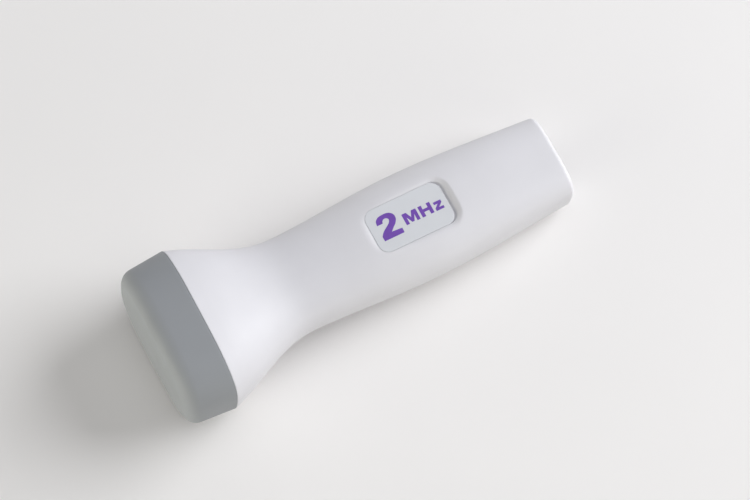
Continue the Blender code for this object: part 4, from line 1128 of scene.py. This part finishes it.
def make_floor(colour):
    """Matt laminate table top without a highlight, and so wide that its edge stays out of view."""
    half = 4.0
    mesh = bpy.data.meshes.new("table_top")
    corners = [(-half, -half, 0), (half, -half, 0), (half, half, 0), (-half, half, 0)]
    mesh.from_pydata(corners, [], [(0, 1, 2, 3)])
    floor = bpy.data.objects.new("table_top", mesh)
    bpy.context.scene.collection.objects.link(floor)
    material, tree, shader, where = new_material("matt_laminate")
    tone = two_tones(tree, where, 60 * MM, shade(colour, 0.995), shade(colour, 1.004))
    tree.links.new(tone, shader.inputs["Base Color"])
    shader.inputs["Roughness"].default_value = 0.75
    shader.inputs["Specular IOR Level"].default_value = 0.2
    mesh.materials.append(material)


def make_world(level):
    """Even light from all round, and a pale backdrop where the camera or a gloss looks past the table."""
    world = bpy.data.worlds.new("studio")
    bpy.context.scene.world = world
    world.use_nodes = True
    tree = world.node_tree
    tree.nodes.clear()
    light = add_node(tree, "ShaderNodeBackground", Color=(*linear("#FBFBFF"), 1.0), Strength=level)
    pale = add_node(tree, "ShaderNodeBackground", Color=(*linear("#E4E4E6"), 1.0), Strength=1.0)
    path = add_node(tree, "ShaderNodeLightPath")
    seen = path.outputs["Is Camera Ray"]
    for ray in ("Is Glossy Ray", "Is Transmission Ray"):
        either = add_node(tree, "ShaderNodeMath", operation="MAXIMUM")
        tree.links.new(seen, either.inputs[0])
        tree.links.new(path.outputs[ray], either.inputs[1])
        seen = either.outputs["Value"]
    mix = add_node(tree, "ShaderNodeMixShader")
    tree.links.new(seen, mix.inputs[0])
    tree.links.new(light.outputs[0], mix.inputs[1])
    tree.links.new(pale.outputs[0], mix.inputs[2])
    out = add_node(tree, "ShaderNodeOutputWorld")
    tree.links.new(mix.outputs[0], out.inputs["Surface"])


class PROBE_OT_shells(bpy.types.Operator):
    """Build the two white shells of the handle, with the recess and the socket's hole"""

    bl_idname = "probe.shells"
    bl_label = "Handle Shells"

    def execute(self, context):
        form = context.scene.probe_form
        white = moulded_abs(
            "spark_eroded_white_abs", context.scene.probe_finish.shell, 0.28 * MM, 0.006 * MM, 0.50, 0.56
        )
        for name, node, side in (("handle_top", "upper_shell", 1), ("handle_bottom", "lower_shell", -1)):
            piece = make_shell(name, side, form, white)
            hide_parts(node)
        return {"FINISHED"}


class PROBE_OT_cap(bpy.types.Operator):
    """Build the grey nose cap with its acoustic face"""

    bl_idname = "probe.cap"
    bl_label = "Nose Cap"

    def execute(self, context):
        grey = moulded_abs(
            "satin_grey_abs", context.scene.probe_finish.cap, 0.35 * MM, 0.003 * MM, 0.60, 0.66
        )
        piece = make_cap(context.scene.probe_form, grey)
        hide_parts("nose_cap")
        return {"FINISHED"}


class PROBE_OT_label(bpy.types.Operator):
    """Lay the label film in the recess and print the working frequency on it"""

    bl_idname = "probe.label"
    bl_label = "Label and Print"

    def execute(self, context):
        form = context.scene.probe_form
        finish = context.scene.probe_finish
        film = make_film(form, label_polycarbonate(finish.film))
        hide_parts("label_plate")
        make_print(form, screen_ink(finish.ink))
        return {"FINISHED"}


class PROBE_OT_socket(bpy.types.Operator):
    """Build the moulded socket in the rear end"""

    bl_idname = "probe.socket"
    bl_label = "Cord Socket"

    def execute(self, context):
        black = speckled("moulded_black_nylon", "#1C1C1F", "#242428", 0.4 * MM, 0.5, 0.0, 0.006, 1.53)
        piece = make_socket(context.scene.probe_form, black)
        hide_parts("jack_housing")
        return {"FINISHED"}


class PROBE_OT_inner_parts(bpy.types.Operator):
    """Give the kept inner parts and the socket's contacts their finishes"""

    bl_idname = "probe.inner_parts"
    bl_label = "Inner Parts"

    def execute(self, context):
        for name, colour, other, size, roughness, metallic, nodes in INNER_FINISHES:
            material = speckled(name, colour, other, size, roughness, metallic)
            for node in nodes:
                paint_node(node, material)
        return {"FINISHED"}


class PROBE_OT_studio(bpy.types.Operator):
    """Set up the table, the light and the camera"""

    bl_idname = "probe.studio"
    bl_label = "Studio"

    def execute(self, context):
        scene = context.scene
        studio = scene.probe_studio
        scene.view_settings.view_transform = "Standard"
        make_floor(scene.probe_finish.floor)
        make_world(studio.sky_level)
        # Name, power, colour, width, height, distance, direction on the table and rise over it
        lamps = (
            ("key_lamp", studio.key_power, "#FCFDFF", 1.2, 1.2, 1.3, studio.key_turn, studio.key_rise),
            ("top_lamp", studio.top_power, "#FBFDFF", 1.2, 1.2, 1.4, 0.0, math.pi / 2),
            ("front_card", studio.front_power, "#FFFDEC", 3.0, 0.5, 2.0, math.pi, math.radians(7.3)),
            ("near_card", studio.near_power, "#FFFDEC", 2.4, 0.6, 2.0, -math.pi / 2, math.radians(10)),
        )
        for lamp in lamps:
            add_soft_lamp(*lamp)

        camera = bpy.data.cameras.new("camera")
        camera.lens = studio.lens
        camera.sensor_width = 36.0
        obj = bpy.data.objects.new("camera", camera)
        scene.collection.objects.link(obj)
        level = math.cos(studio.elevation)
        back = Vector((
            -math.sin(studio.turn) * level, -math.cos(studio.turn) * level, math.sin(studio.elevation)
        ))
        obj.location = Vector((studio.aim_x, studio.aim_y, 0.0)) + back * studio.distance
        obj.rotation_mode = "QUATERNION"
        obj.rotation_quaternion = (-back).to_track_quat("-Z", "Y")
        scene.camera = obj
        return {"FINISHED"}


class PROBE_PT_looks(bpy.types.Panel):
    """Buttons and settings of the probe's looks"""

    bl_idname = "PROBE_PT_looks"
    bl_label = "Ultrasound Probe"
    bl_space_type = "VIEW_3D"
    bl_region_type = "UI"
    bl_category = "Probe"

    def draw(self, context):
        for group in (context.scene.probe_form, context.scene.probe_finish, context.scene.probe_studio):
            box = self.layout.box()
            for name in group.__annotations__:
                box.prop(group, name)
        for operator in OPERATORS:
            self.layout.operator(operator.bl_idname)


GROUPS = (ProbeForm, ProbeFinish, ProbeStudio)
OPERATORS = (
    PROBE_OT_studio, PROBE_OT_shells, PROBE_OT_cap, PROBE_OT_label, PROBE_OT_socket, PROBE_OT_inner_parts,
)


def register():
    for cls in (*GROUPS, *OPERATORS, PROBE_PT_looks):
        bpy.utils.register_class(cls)
    bpy.types.Scene.probe_form = bpy.props.PointerProperty(type=ProbeForm)
    bpy.types.Scene.probe_finish = bpy.props.PointerProperty(type=ProbeFinish)
    bpy.types.Scene.probe_studio = bpy.props.PointerProperty(type=ProbeStudio)


def unregister():
    del bpy.types.Scene.probe_studio
    del bpy.types.Scene.probe_finish
    del bpy.types.Scene.probe_form
    for cls in reversed((*GROUPS, *OPERATORS, PROBE_PT_looks)):
        bpy.utils.unregister_class(cls)


def main():
    register()
    bpy.ops.probe.studio()
    bpy.ops.probe.shells()
    bpy.ops.probe.cap()
    bpy.ops.probe.label()
    bpy.ops.probe.socket()
    bpy.ops.probe.inner_parts()


if __name__ == "__main__":
    main()
